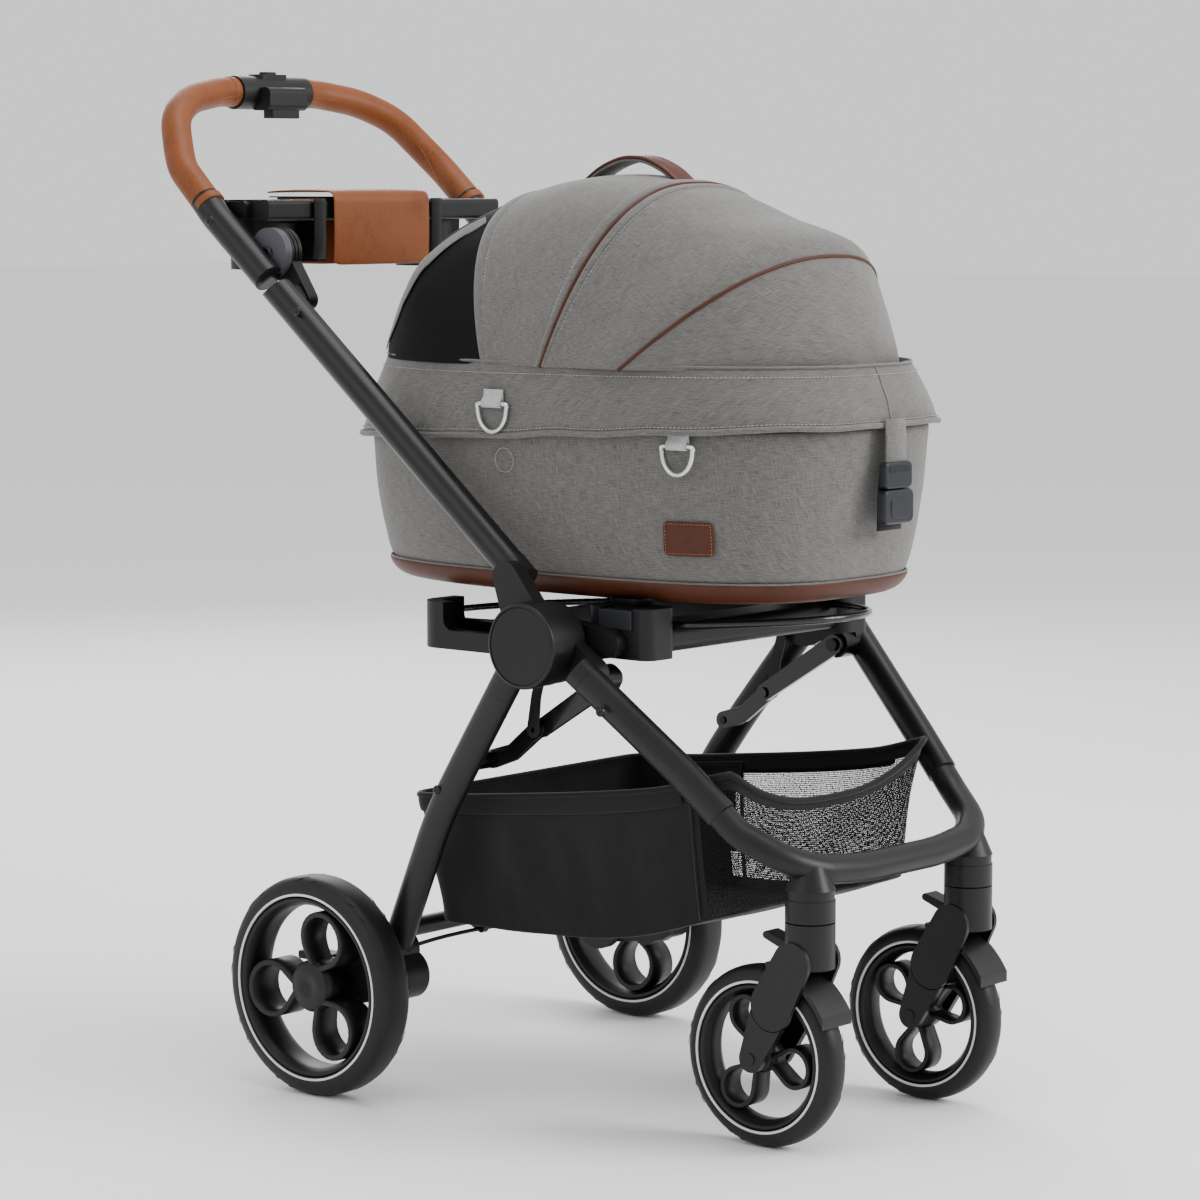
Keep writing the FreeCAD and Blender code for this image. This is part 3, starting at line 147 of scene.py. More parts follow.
def sheet_piece(name, rows, finish, body, thick=2.0, loop=False, smoother=1, ring=False):
    """A fabric or leather panel of one thickness, lying inside its outer surface."""
    points, faces, uvs = grid(rows, loop, ring)
    obj = build(name, points, faces, finish, body, uvs)
    if thick:
        shell = obj.modifiers.new("thickness", "SOLIDIFY")
        shell.thickness = thick * MM
        shell.offset = -1.0
    if smoother:
        obj.modifiers.new("smooth", "SUBSURF").levels = smoother
        obj.modifiers["smooth"].render_levels = smoother
    return obj


def smooth_path(points, per_run=8, closed=False):
    """A Catmull-Rom line through the points."""
    p = [Vector(q) for q in points]
    n = len(p)
    out = []
    for i in range(n if closed else n - 1):
        if closed:
            a, b, c, d = (p[(i + k) % n] for k in (-1, 0, 1, 2))
        else:
            b, c = p[i], p[i + 1]
            a = p[i - 1] if i else b * 2 - c
            d = p[i + 2] if i + 2 < n else c * 2 - b
        for k in range(per_run):
            t = k / per_run
            out.append(0.5 * (2 * b + (c - a) * t + (2 * a - 5 * b + 4 * c - d) * t * t
                              + (3 * b - a - 3 * c + d) * t ** 3))
    if not closed:
        out.append(p[-1])
    return out


def tangents(path, closed=False):
    n = len(path)
    out = []
    for i in range(n):
        before = path[i - 1] if i or closed else path[0]
        after = path[(i + 1) % n] if i + 1 < n or closed else path[-1]
        out.append((after - before).normalized())
    return out


def swept(path, section, up=Vector((1, 0, 0)), closed=False):
    """Rows of a section carried along a path; up keeps the section from twisting."""
    rows = []
    for p, t in zip(path, tangents(path, closed)):
        side = t.cross(up)
        side.normalize()
        tall = side.cross(t)
        rows.append([p + side * a + tall * b for a, b in section])
    return rows


def round_section(r, count=16):
    return [(r * math.cos(2 * math.pi * k / count), r * math.sin(2 * math.pi * k / count))
            for k in range(count)]


def flat_section(width, thick, edge=0.4):
    """A strap's section with softened edges."""
    w, t = width / 2, thick / 2
    e = edge * t
    return [(-w + e, -t), (0, -t), (w - e, -t), (w, -t + e), (w, t - e), (w - e, t),
            (0, t), (-w + e, t), (-w, t - e), (-w, -t + e)]


def bar_piece(name, path, section, finish, body, up=Vector((1, 0, 0)), closed=False):
    rows = swept(path, section, up, closed)
    points, faces, uvs = grid(rows, True, closed, not closed)
    return build(name, points, faces, finish, body, uvs)


def stitches(name, paths, normals, body, finish="Waxed thread", pitch=4.2, length=2.9,
             r=0.42):
    """Short thread stitches laid along paths; each normal says which way is out."""
    points, faces = [], []
    for path, normal in zip(paths, normals):
        ahead = 0.0
        for a, b in zip(path, path[1:]):
            run = b - a
            if run.length < 1e-6:
                continue
            t = run.normalized()
            out = normal if isinstance(normal, Vector) else normal((a + b) / 2)
            side = t.cross(out).normalized()
            s = ahead
            while s < run.length:
                start = len(points)
                ends = ((0.0, 0.35, -0.2), (0.2, 1.0, 0.55), (0.8, 1.0, 0.55), (1.0, 0.35, -0.2))
                for share, wide, proud in ends:
                    c = a + t * (s + length * share) + out * (r * proud)
                    for k in range(6):
                        turn = math.pi * k / 3
                        points.append(c + side * (r * wide * math.cos(turn))
                                      + out * (r * wide * math.sin(turn)))
                for ring in range(3):
                    for k in range(6):
                        m = (k + 1) % 6
                        low, high = start + ring * 6, start + ring * 6 + 6
                        faces.append((low + k, low + m, high + m, high + k))
                faces.append(tuple(start + k for k in range(5, -1, -1)))
                faces.append(tuple(start + 18 + k for k in range(6)))
                s += pitch
            ahead = s - run.length
    return build(name, points, faces, finish, body)


def turned(name, profile, centre, finish, body, count=96):
    """A closed (x, radius) outline turned about an axle along X."""
    rows = []
    for k in range(count):
        a = 2 * math.pi * k / count
        rows.append([(centre[0] + x, centre[1] + r * math.cos(a), centre[2] + r * math.sin(a))
                     for x, r in profile])
    points, faces, uvs = grid(rows, True, True)
    return build(name, points, faces, finish, body, uvs)


def softened(obj, width, segments=2, angle=32):
    """Rounds the edges and evens the shading of a moulded or machined piece."""
    weld = obj.modifiers.new("weld", "WELD")
    weld.merge_threshold = 0.01 * MM
    flat = obj.modifiers.new("faces", "DECIMATE")
    flat.decimate_type = "DISSOLVE"
    flat.angle_limit = math.radians(1.5)
    edge = obj.modifiers.new("edges", "BEVEL")
    edge.width = width * MM
    edge.segments = segments
    edge.limit_method = "ANGLE"
    edge.angle_limit = math.radians(angle)
    edge.harden_normals = True
    obj.modifiers.new("shading", "WEIGHTED_NORMAL")
    return obj


def superellipse(half_w, half_l, power, count):
    """Level outline of the pod, starting at +X and going towards the rear."""
    out = []
    for k in range(count):
        a = 2 * math.pi * k / count
        c, s = math.cos(a), math.sin(a)
        x = half_w * math.copysign(abs(c) ** (2 / power), c)
        y = half_l * math.copysign(abs(s) ** (2 / power), s)
        out.append((x, POD_Y + y))
    return even(out)


def even(outline):
    """The same closed outline with evenly spaced points."""
    pts = [Vector((x, y, 0)) for x, y in outline]
    run = [0.0]
    for a, b in zip(pts, pts[1:] + pts[:1]):
        run.append(run[-1] + (b - a).length)
    out, i = [], 0
    for k in range(len(pts)):
        s = run[-1] * k / len(pts)
        while run[i + 1] < s:
            i += 1
        share = (s - run[i]) / (run[i + 1] - run[i])
        p = pts[i].lerp(pts[(i + 1) % len(pts)], share)
        out.append((p.x, p.y))
    return out


def ripple(p, size, height, seed=0.0):
    """Gentle unevenness of cloth: height at a point, waves of about the given size."""
    return height * noise.noise(Vector((p[0] / size + seed, p[1] / size, p[2] / size)))


def through(samples, x):
    """Smooth value between (position, value) samples."""
    for k in range(len(samples) - 1):
        x0, y0 = samples[k]
        x1, y1 = samples[k + 1]
        if x <= x1 or k == len(samples) - 2:
            xa, ya = samples[max(0, k - 1)]
            xb, yb = samples[min(len(samples) - 1, k + 2)]
            h = x1 - x0
            m0 = (y1 - ya) / (x1 - xa) * h
            m1 = (yb - y0) / (xb - x0) * h
            t = min(1.0, max(0.0, (x - x0) / h))
            return ((2 * t ** 3 - 3 * t * t + 1) * y0 + (t ** 3 - 2 * t * t + t) * m0
                    + (3 * t * t - 2 * t ** 3) * y1 + (t ** 3 - t * t) * m1)


# ---- finishes -----------------------------------------------------------------------
def linear(hex_colour):
    """An sRGB hex colour as linear RGBA."""
    out = []
    for k in (1, 3, 5):
        c = int(hex_colour[k:k + 2], 16) / 255
        out.append(c / 12.92 if c <= 0.04045 else ((c + 0.055) / 1.055) ** 2.4)
    return (*out, 1.0)


def add(tree, kind, links=None, **settings):
    """Adds a node; links gives its inputs, as values or as other nodes' outputs."""
    node = tree.nodes.new("ShaderNode" + kind)
    for key, value in settings.items():
        setattr(node, key, value)
    for key, value in (links or {}).items():
        if isinstance(value, bpy.types.NodeSocket):
            tree.links.new(value, node.inputs[key])
        else:
            node.inputs[key].default_value = value
    return node


def surface(name, roughness, metallic=0.0, ior=None, coat=0.0, sheen=0.0, shine=0.5):
    mat = bpy.data.materials.new(name)
    mat.use_nodes = True
    shader = mat.node_tree.nodes["Principled BSDF"]
    shader.inputs["Roughness"].default_value = roughness
    shader.inputs["Metallic"].default_value = metallic
    if ior:
        shader.inputs["IOR"].default_value = ior
    shader.inputs["Coat Weight"].default_value = coat
    shader.inputs["Specular IOR Level"].default_value = shine
    if sheen:
        shader.inputs["Sheen Weight"].default_value = sheen
        shader.inputs["Sheen Roughness"].default_value = 0.5
    return mat, mat.node_tree, shader


def between(tree, amount, dark, light, low=0.0, high=1.0):
    """A colour that runs from dark to light as amount goes from low to high."""
    ramp = add(tree, "ValToRGB", {"Fac": amount})
    ramp.color_ramp.elements[0].position = low
    ramp.color_ramp.elements[0].color = linear(dark)
    ramp.color_ramp.elements[1].position = high
    ramp.color_ramp.elements[1].color = linear(light)
    return ramp.outputs["Color"]


def range_of(tree, value, low, high):
    return add(tree, "MapRange", {"Value": value, "To Min": low, "To Max": high}).outputs[0]


def relief(tree, shader, height, depth_mm, strength=1.0):
    bump = add(tree, "Bump", {"Height": height, "Strength": strength, "Distance": depth_mm * MM})
    tree.links.new(bump.outputs["Normal"], shader.inputs["Normal"])


def place_of(tree, kind="Object", scale=(1.0, 1.0, 1.0), turn=0.0):
    """Coordinates in metres; scale is how many repeats to the metre along each axis."""
    where = add(tree, "TexCoord").outputs[kind]
    return add(tree, "Mapping", {"Vector": where, "Scale": scale,
                                 "Rotation": (0.0, 0.0, turn)}).outputs["Vector"]


def per_metre(mm):
    return 1.0 / (mm * MM)


def speckled(name, dark, light, roughness, grain_mm, depth_mm, metallic=0.0, ior=1.5, coat=0.0,
             spread=0.08, shine=0.3):
    """A moulded or coated surface: fine grain in its relief, faint clouding in its colour."""
    mat, tree, shader = surface(name, roughness, metallic, None if metallic else ior, coat,
                                shine=0.5 if metallic else shine)
    where = place_of(tree)
    grain = add(tree, "TexNoise", {"Vector": where, "Scale": per_metre(grain_mm), "Detail": 3.0})
    cloud = add(tree, "TexNoise", {"Vector": where, "Scale": per_metre(60), "Detail": 4.0})
    colour = between(tree, cloud.outputs["Fac"], dark, light, 0.3, 0.7)
    tree.links.new(colour, shader.inputs["Base Color"])
    gloss = range_of(tree, cloud.outputs["Fac"], roughness - spread, roughness + spread)
    tree.links.new(gloss, shader.inputs["Roughness"])
    relief(tree, shader, grain.outputs["Fac"], depth_mm, 0.6)
    return mat


def powder_coat():
    # polyester powder on aluminium tube: satin, faintly pebbled
    return speckled("Powder-coated aluminium", "#0f0e0f", "#141314", 0.36, 0.9, 0.05, ior=1.5)


def moulded_nylon():
    # glass-filled nylon from a spark-eroded tool: matt with soft highlights
    return speckled("Moulded nylon", "#08080a", "#0d0d0e", 0.45, 0.8, 0.06)


def moulded_bow():
    # nylon moulding painted to match the tubes
    return speckled("Painted nylon", "#0d0c0d", "#121112", 0.42, 1.0, 0.05)


def grey_nylon():
    # self-coloured grey moulding, slightly polished by hands
    return speckled("Grey nylon", "#3f3e44", "#4a494f", 0.42, 0.8, 0.04)


def dark_acetal():
    # acetal buckle and button: smooth, waxy, dark grey
    return speckled("Dark acetal", "#1b1c20", "#232429", 0.36, 1.4, 0.03)


def black_lacquer():
    # lacquered wire: smooth and glossy
    return speckled("Lacquered wire", "#0f0f10", "#151516", 0.2, 3.0, 0.01, coat=0.3, spread=0.03)


def zinc_plate():
    # zinc-plated screw: dark bright metal
    return speckled("Black zinc plate", "#2b2b2c", "#39393b", 0.3, 0.7, 0.02, metallic=1.0)


def nickel_plate():
    # brushed nickel plate on zinc casting
    return speckled("Satin nickel plate", "#c9cacb", "#dcdddd", 0.27, 0.6, 0.015, metallic=0.9)


def eva_tyre():
    # foamed EVA skin: matt, with fine mould lines
    return speckled("Foamed EVA", "#0b0b0b", "#101010", 0.48, 1.1, 0.09)


def reflective_ring():
    # pale reflective tape set into the tyre
    return speckled("Reflective tape", "#c3c3bd", "#d8d7d1", 0.4, 0.9, 0.03, spread=0.05)


def leather(name, dark, light, roughness, pore_mm=1.3):
    """Bonded leather: rolled pebble grain, pores, darker where it is handled."""
    mat, tree, shader = surface(name, roughness, 0.0, 1.45, 0.02, shine=0.3)
    where = place_of(tree)
    cells = add(tree, "TexVoronoi", {"Vector": where, "Scale": per_metre(pore_mm)},
                feature="DISTANCE_TO_EDGE")
    fine = add(tree, "TexNoise", {"Vector": where, "Scale": per_metre(2.2), "Detail": 6.0})
    cloud = add(tree, "TexNoise", {"Vector": where, "Scale": per_metre(34), "Detail": 5.0,
                                   "Roughness": 0.6})
    mix = add(tree, "Math", {0: cloud.outputs["Fac"], 1: fine.outputs["Fac"]}, operation="ADD")
    colour = between(tree, mix.outputs[0], dark, light, 0.75, 1.25)
    tree.links.new(colour, shader.inputs["Base Color"])
    pebbles = add(tree, "Math", {0: cells.outputs["Distance"], 1: fine.outputs["Fac"]},
                  operation="MULTIPLY")
    gloss = range_of(tree, fine.outputs["Fac"], roughness - 0.1, roughness + 0.12)
    tree.links.new(gloss, shader.inputs["Roughness"])
    relief(tree, shader, pebbles.outputs[0], 0.35, 0.5)
    return mat


def tan_leather():
    return leather("Tan bonded leather", "#68330f", "#763f1a", 0.48)


def brown_leather():
    return leather("Brown bonded leather", "#331709", "#46200f", 0.52)


def woven(name, dark, light, thread_mm, roughness, sheen, depth_mm, slub=0.5, kind="UV"):
    """Plain weave with thick and thin yarns: streaks both ways, crossing in a fine check."""
    mat, tree, shader = surface(name, roughness, 0.0, 1.45, 0.0, sheen, 0.25)
    t = per_metre(thread_mm)
    streaks = []
    for long_way, wide_way in ((t * 0.06, t), (t, t * 0.06)):
        where = place_of(tree, kind, (long_way, wide_way, t * 0.5))
        streak = add(tree, "TexNoise", {"Vector": where, "Scale": 1.0, "Detail": 2.0,
                                        "Roughness": 0.65})
        streaks.append(streak.outputs["Fac"])
    yarn = add(tree, "Math", {0: streaks[0], 1: streaks[1]}, operation="ADD").outputs[0]
    flat = place_of(tree, kind)
    cloud = add(tree, "TexNoise", {"Vector": flat, "Scale": per_metre(25), "Detail": 3.0})
    fleck = add(tree, "TexNoise", {"Vector": flat, "Scale": t * 0.8, "Detail": 2.0})
    part = add(tree, "Math", {0: fleck.outputs["Fac"], 1: slub}, operation="MULTIPLY").outputs[0]
    tone = add(tree, "Math", {0: yarn, 1: part}, operation="ADD").outputs[0]
    shade = add(tree, "Math", {0: cloud.outputs["Fac"], 1: 0.12}, operation="MULTIPLY").outputs[0]
    tone = add(tree, "Math", {0: tone, 1: shade}, operation="ADD").outputs[0]
    middle = 1.0 + slub * 0.5 + 0.06
    spread = add(tree, "MapRange", {"Value": tone, "From Min": middle - 0.36,
                                    "From Max": middle + 0.36}).outputs[0]
    colour = between(tree, spread, dark, light)
    tree.links.new(colour, shader.inputs["Base Color"])
    relief(tree, shader, tone, depth_mm, 0.7)
    return mat


def linen():
    # melange polyester that looks like linen: 0.5 mm yarns, drawn at 0.8 mm so that they show
    return woven("Melange woven polyester", "#3c3b39", "#74726e", 0.8, 0.85, 0.25, 0.35)


def twill():
    # black 600D oxford cloth: yarns drawn at 1.4 mm
    return woven("Black oxford cloth", "#050505", "#0d0d0e", 1.4, 0.78, 0.12, 0.3)


def webbing():
    # shiny grey grosgrain tape
    return woven("Grey satin webbing", "#8d8d8e", "#b9b9b9", 1.1, 0.4, 0.2, 0.2)


def quilted():
    # brushed cotton over wadding
    return woven("Brushed cotton", "#8a867f", "#b5b1a9", 1.6, 0.9, 0.3, 0.3, kind="Object")


def thread(name, colour_dark, colour_light):
    mat, tree, shader = surface(name, 0.6, ior=1.45, sheen=0.2)
    where = place_of(tree, "Object", (per_metre(1.5),) * 3)
    twist = add(tree, "TexNoise", {"Vector": where, "Scale": 1.0, "Detail": 1.0})
    tree.links.new(between(tree, twist.outputs["Fac"], colour_dark, colour_light, 0.3, 0.7),
                   shader.inputs["Base Color"])
    return mat


def waxed_thread():
    return thread("Waxed thread", "#7a3a16", "#a8612f")


def grey_thread():
    return thread("Grey thread", "#77747a", "#a3a0a6")


def mesh_cloth(name, hole_mm, cover, tint):
    """Warp-knit mesh: rows of small holes that light passes through."""
    mat, tree, shader = surface(name, 0.8, shine=0.15)
    flat = place_of(tree, "UV", (per_metre(hole_mm),) * 3)
    cells = add(tree, "TexVoronoi", {"Vector": flat, "Scale": 1.0, "Randomness": 0.25},
                voronoi_dimensions="2D")
    hole = add(tree, "Math", {0: cells.outputs["Distance"], 1: cover}, operation="GREATER_THAN")
    strands = range_of(tree, cells.outputs["Distance"], 0.0, 1.0)
    colour = between(tree, strands, tint[0], tint[1], 0.1, 0.6)
    tree.links.new(colour, shader.inputs["Base Color"])
    tree.links.new(hole.outputs[0], shader.inputs["Alpha"])
    relief(tree, shader, cells.outputs["Distance"], 0.3, 0.6)
    return mat


def window_mesh():
    # canopy mesh: 2.6 mm hole spacing, nearly closed
    return mesh_cloth("Black window mesh", 2.6, 0.1, ("#050506", "#0b0b0c"))


def basket_mesh():
    # basket mesh: open enough to see through
    return mesh_cloth("Black basket mesh", 2.2, 0.37, ("#070708", "#101011"))


def floor_paint():
    mat, tree, shader = surface("Pale floor", 0.9)
    cloud = add(tree, "TexNoise", {"Vector": place_of(tree), "Scale": 0.7, "Detail": 2.0})
    tree.links.new(between(tree, cloud.outputs["Fac"], "#f4f4f3", "#f8f8f7"),
                   shader.inputs["Base Color"])
    return mat


FINISHES = {
    "Powder coat": powder_coat, "Nylon": moulded_nylon, "Painted nylon": moulded_bow,
    "Grey nylon": grey_nylon, "Acetal": dark_acetal, "Lacquer": black_lacquer,
    "Zinc": zinc_plate, "Nickel": nickel_plate, "EVA": eva_tyre, "Tape": reflective_ring,
    "Tan leather": tan_leather, "Brown leather": brown_leather, "Linen": linen,
    "Oxford": twill, "Webbing": webbing, "Cotton": quilted, "Waxed thread": waxed_thread,
    "Grey thread": grey_thread, "Window mesh": window_mesh, "Basket mesh": basket_mesh,
    "Floor": floor_paint,
}
_made = {}


def material(finish):
    if finish not in _made:
        _made[finish] = FINISHES[finish]()
    return _made[finish]


# ---- frame --------------------------------------------------------------------------
CAD_FINISHES = {
    "Powder coat": (0.5, ["front_leg_right", "front_leg_left", "push_tubes", "rear_leg_right",
                          "rear_leg_left", "rear_cross_tube", "handle_tube"]),
    "Painted nylon": (0.8, ["front_bow", "caster_housings", "caster_fork_right",
                            "caster_fork_left", "caster_arm_right", "caster_arm_left",
                            "leg_sockets", "push_collars", "hub_housings", "axle_brackets"]),
    "Nylon": (0.9, ["platform_beam", "platform_tray", "console_frame", "release_housing",
                    "release_slider", "release_trigger", "swivel_lock_right",
                    "swivel_lock_left", "brake_pedal", "hub_caps", "brake_cable",
                    "fold_straps", "knuckle_inner_discs"]),
    "Grey nylon": (0.8, ["knuckle_outer_discs"]),
    "Acetal": (0.8, ["adapter_button_right", "adapter_button_left"]),
    "Lacquer": (0.4, ["platform_ring", "front_links", "rear_links"]),
    "Zinc": (0.4, ["fold_pins", "rear_pins"]),
}


def finish_frame():
    """Gives every engineered piece its finish and soft edges."""
    for finish, (edge, names) in CAD_FINISHES.items():
        for name in names:
            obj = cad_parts[name]
            obj.data.materials.clear()
            obj.data.materials.append(material(finish))
            obj.data.polygons.foreach_set("use_smooth", [True] * len(obj.data.polygons))
            softened(obj, edge)


def screw(points, faces, place, out, r=4.6):
    """A domed socket screw with a recess, added to shared lists."""
    out = Vector(out).normalized()
    side = out.cross(Vector((0, 0, 1)) if abs(out.z) < 0.9 else Vector((0, 1, 0))).normalized()
    up = out.cross(side)
    start = len(points)
    rings = ((r + 0.6, -1.6), (r + 0.5, 0.1), (r, 0.9), (r * 0.72, 1.5), (r * 0.5, 1.6),
             (r * 0.42, 0.2))
    for radius, height in rings:
        for k in range(18):
            a = 2 * math.pi * k / 18
            points.append(Vector(place) + side * (radius * math.cos(a))
                          + up * (radius * math.sin(a)) + out * height)
    for i in range(len(rings) - 1):
        for k in range(18):
            m = (k + 1) % 18
            low, high = start + i * 18, start + i * 18 + 18
            faces.append((low + k, low + m, high + m, high + k))
    faces.append(tuple(start + (len(rings) - 1) * 18 + k for k in range(18)))


# place, direction and head radius of the screws on the right-hand side
SCREWS = {
    "push_frame": [((-238, -238, 564), (-1, 0, 0), 4.6), ((-233, 56, 832), (-1, 0, 0), 4.6)],
    "handle": [((-229, 192, 927), (-1, 0, 0), 4.8), ((-205.4, 128, 892.4), (-1, 0, 0), 6.4)],
    "front_frame": [((-245.5, -376, 442), (-1, 0, 0), 4.6)],
    "rear_frame": [((-241, -150, 340), (-1, 0, 0), 4.4)],
}


def add_screws():
    for body, heads in SCREWS.items():
        points, faces = [], []
        for place, out, r in heads:
            for side in (1, -1):
                screw(points, faces, (place[0] * side, place[1], place[2]),
                      (out[0] * side, out[1], out[2]), r)
        build("screws_" + body, points, faces, "Zinc", body)


# ---- wheels -------------------------------------------------------------------------
def tyre_profile(r, width, bead):
    """Outline from one bead over the crown to the other, then back inside."""
    half = width / 2
    side = [(half - 2.4, bead), (half - 0.3, bead + 2.0), (half, bead + 4.0),
            (half, bead + 7.0), (half - 1.0, r - 9.0), (half - 3.4, r - 4.6),
            (half - 7.2, r - 1.6), (half - 12.0, r - 0.25)]
    left = [(-x, y) for x, y in reversed(side)]
    return side + [(0.0, r)] + left + [(0.0, bead - 2.0)]


def tread(points, faces, centre, r, half, side, count):
    """Fine slanting mould ridges on the shoulder of the tyre."""
    for k in range(count):
        for slant, reach, lean in ((0.0, 0.16, 1.0), (0.21, 0.09, 0.6)):
            start = len(points)
            a0 = 2 * math.pi * k / count + slant
            steps = 7
            for i in range(steps + 1):
                t = i / steps
                a = a0 + reach * t
                x = half - 3.0 - (7.5 * t ** 1.5) * lean
                rr = r - 4.4 + (3.9 * t ** 0.8) * lean
                w = 0.55 * math.sin(math.pi * min(0.96, max(0.04, t)))
                for dx, dr in ((-w, -0.2), (0, 0.42), (w, -0.2)):
                    radius = rr + dr
                    points.append(Vector((centre[0] + side * (x + dx),
                                          centre[1] + radius * math.cos(a),
                                          centre[2] + radius * math.sin(a))))
            for i in range(steps):
                low = start + i * 3
                for j in (0, 1):
                    face = (low + j, low + j + 1, low + j + 4, low + j + 3)
                    faces.append(face if side > 0 else face[::-1])


def teardrop(near, far, r_near, r_far, count=40):
    """Outline of a looped spoke in (radial, sideways) millimetres."""
    d = far - near
    lean = math.acos((r_near - r_far) / d)
    out = []
    for k in range(count // 2):
        a = -lean + 2 * lean * k / (count // 2 - 1)
        out.append((far + r_far * math.cos(a), r_far * math.sin(a)))
    for k in range(count // 2):
        a = lean + 2 * (math.pi - lean) * k / (count // 2 - 1)
        out.append((near + r_near * math.cos(a), r_near * math.sin(a)))
    return out


def spoke_loop(points, faces, centre, angle, near, far, r_near, r_far, wall, depth, dish):
    """A tube of teardrop section that runs through the wheel, with rounded rims."""
    outer = teardrop(near, far, r_near, r_far)
    inner = teardrop(near, far, r_near - wall, r_far - wall)
    rings = []
    for t, share in ((-1, 0.5), (-1, 0.12), (-0.97, 0.0)):
        rings.append((share, t))
    rings += [(0.0, 0.97), (0.12, 1.0), (0.5, 1.0), (0.88, 1.0), (1.0, 0.97), (1.0, -0.97),
              (0.88, -1.0)]
    start = len(points)
    c, s = math.cos(angle), math.sin(angle)
    for share, t in rings:
        for (ro, so), (ri, si) in zip(outer, inner):
            rad, sid = ro + (ri - ro) * share, so + (si - so) * share
            lean = dish * (rad - near) / (far - near)
            x = t * depth + (lean if t > 0 else -lean)
            points.append(Vector((centre[0] + x, centre[1] + rad * c - sid * s,
                                  centre[2] + rad * s + sid * c)))
    n, m = len(outer), len(rings)
    for i in range(m):
        for k in range(n):
            a, b = start + i * n + k, start + i * n + (k + 1) % n
            c2, d2 = start + ((i + 1) % m) * n + (k + 1) % n, start + ((i + 1) % m) * n + k
            faces.append((a, b, c2, d2))


def rim_profile(bead, width, barrel, half_in):
    half = width / 2
    return [(half - 2.6, bead), (half - 0.6, bead - 0.6), (half, bead - 2.2),
            (half - 0.4, bead - 3.8), (half - 2.6, bead - 5.0), (half - 7.0, barrel + 1.4),
            (half_in, barrel), (-half_in, barrel), (-half + 7.0, barrel + 1.4),
            (-half + 2.6, bead - 5.0), (-half + 0.4, bead - 3.8), (-half, bead - 2.2),
            (-half + 0.6, bead - 0.6), (-half + 2.6, bead), (0.0, bead + 1.0)]


def wheel(kind, side_name, centre, r, width, bead, hub_r, ring_r, angles, loop):
    """Tyre with its pale ring, and a deep rim with three looped spokes."""
    body = kind + "_wheel_" + side_name
    label = kind + "_" + side_name
    tyre = turned(kind + "_tyre_skin_" + side_name, tyre_profile(r, width, bead), centre,
                  "EVA", body, 128)
    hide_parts(kind + "_tyre_" + side_name)
    half = width / 2
    points, faces = [], []
    for side in (-1, 1):
        tread(points, faces, centre, r, half, side, 9)
    build("tread_" + label, points, faces, "EVA", body)
    for side in (-1, 1):
        x = side * half
        ring = [(x - side * 1.0, ring_r - 1.3), (x + side * 0.25, ring_r - 1.2),
                (x + side * 0.35, ring_r), (x + side * 0.25, ring_r + 1.2),
                (x - side * 1.0, ring_r + 1.3)]
        turned("pale_ring_%s_%s" % (label, "in" if side * centre[0] < 0 else "out"), ring,
               centre, "Tape", body, 128)
    barrel = bead - 9.5
    rim = turned(kind + "_rim_barrel_" + side_name,
                 rim_profile(bead, width - 1.0, barrel, width * 0.2), centre, "Painted nylon",
                 body, 128)
    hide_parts(kind + "_rim_" + side_name)
    points, faces = [], []
    for angle in angles:
        spoke_loop(points, faces, centre, math.radians(angle), *loop)
    build("spoke_loops_" + label, points, faces, "Painted nylon", body)
    depth = loop[5]
    hub = [(depth + 1.0, 0.01), (depth + 1.2, hub_r * 0.55), (depth + 0.4, hub_r * 0.93),
           (depth - 1.2, hub_r), (depth - 3.2, hub_r + 0.2), (depth - 3.6, hub_r + 1.6),
           (-depth + 3.6, hub_r + 1.6), (-depth + 3.2, hub_r + 0.2), (-depth + 1.2, hub_r),
           (-depth - 0.4, hub_r * 0.93), (-depth - 1.2, hub_r * 0.55), (-depth - 1.0, 0.01)]
    turned("wheel_hub_" + label, hub, centre, "Painted nylon", body, 64)


def build_wheels():
    loops, wall = chosen("wheels").loops, chosen("wheels").rear_wall / MM
    bead_rear, bead_front = REAR_R - 22.0, FRONT_R - 19.0
    far = bead_rear - 9.5 - 30.5
    rear_loop = (30.0, far, 12.0, 31.0, wall, REAR_W / 2 - 6.0, 2.0)
    far = bead_front - 9.5 - 21.0
    front_loop = (20.0, far, 9.0, 21.5, 4.6, FRONT_W / 2 - 5.0, 1.4)
    for name, s, turn_rear, turn_front in (("right", 1, 351, 68), ("left", -1, 20, 40)):
        wheel("rear", name, (s * REAR_X, 0, REAR_R), REAR_R, REAR_W, bead_rear, 26.0,
              REAR_R - 19.0, [turn_rear + 360 / loops * k for k in range(loops)], rear_loop)
        wheel("front", name, (s * FRONT_X, FRONT_Y, FRONT_R), FRONT_R, FRONT_W, bead_front,
              15.0, FRONT_R - 16.4, [turn_front + 360 / loops * k for k in range(loops)], front_loop)


# ---- handle and console -------------------------------------------------------------
GRIP_R = 16.5
HANDLE_LINE = [(-212, 206, 942), (-210, 242, 975), (-200, 268, 1001), (-178, 297, 1039),
               (-136, 318, 1060), (-80, 330, 1069), (-56.5, 330, 1069.5)]


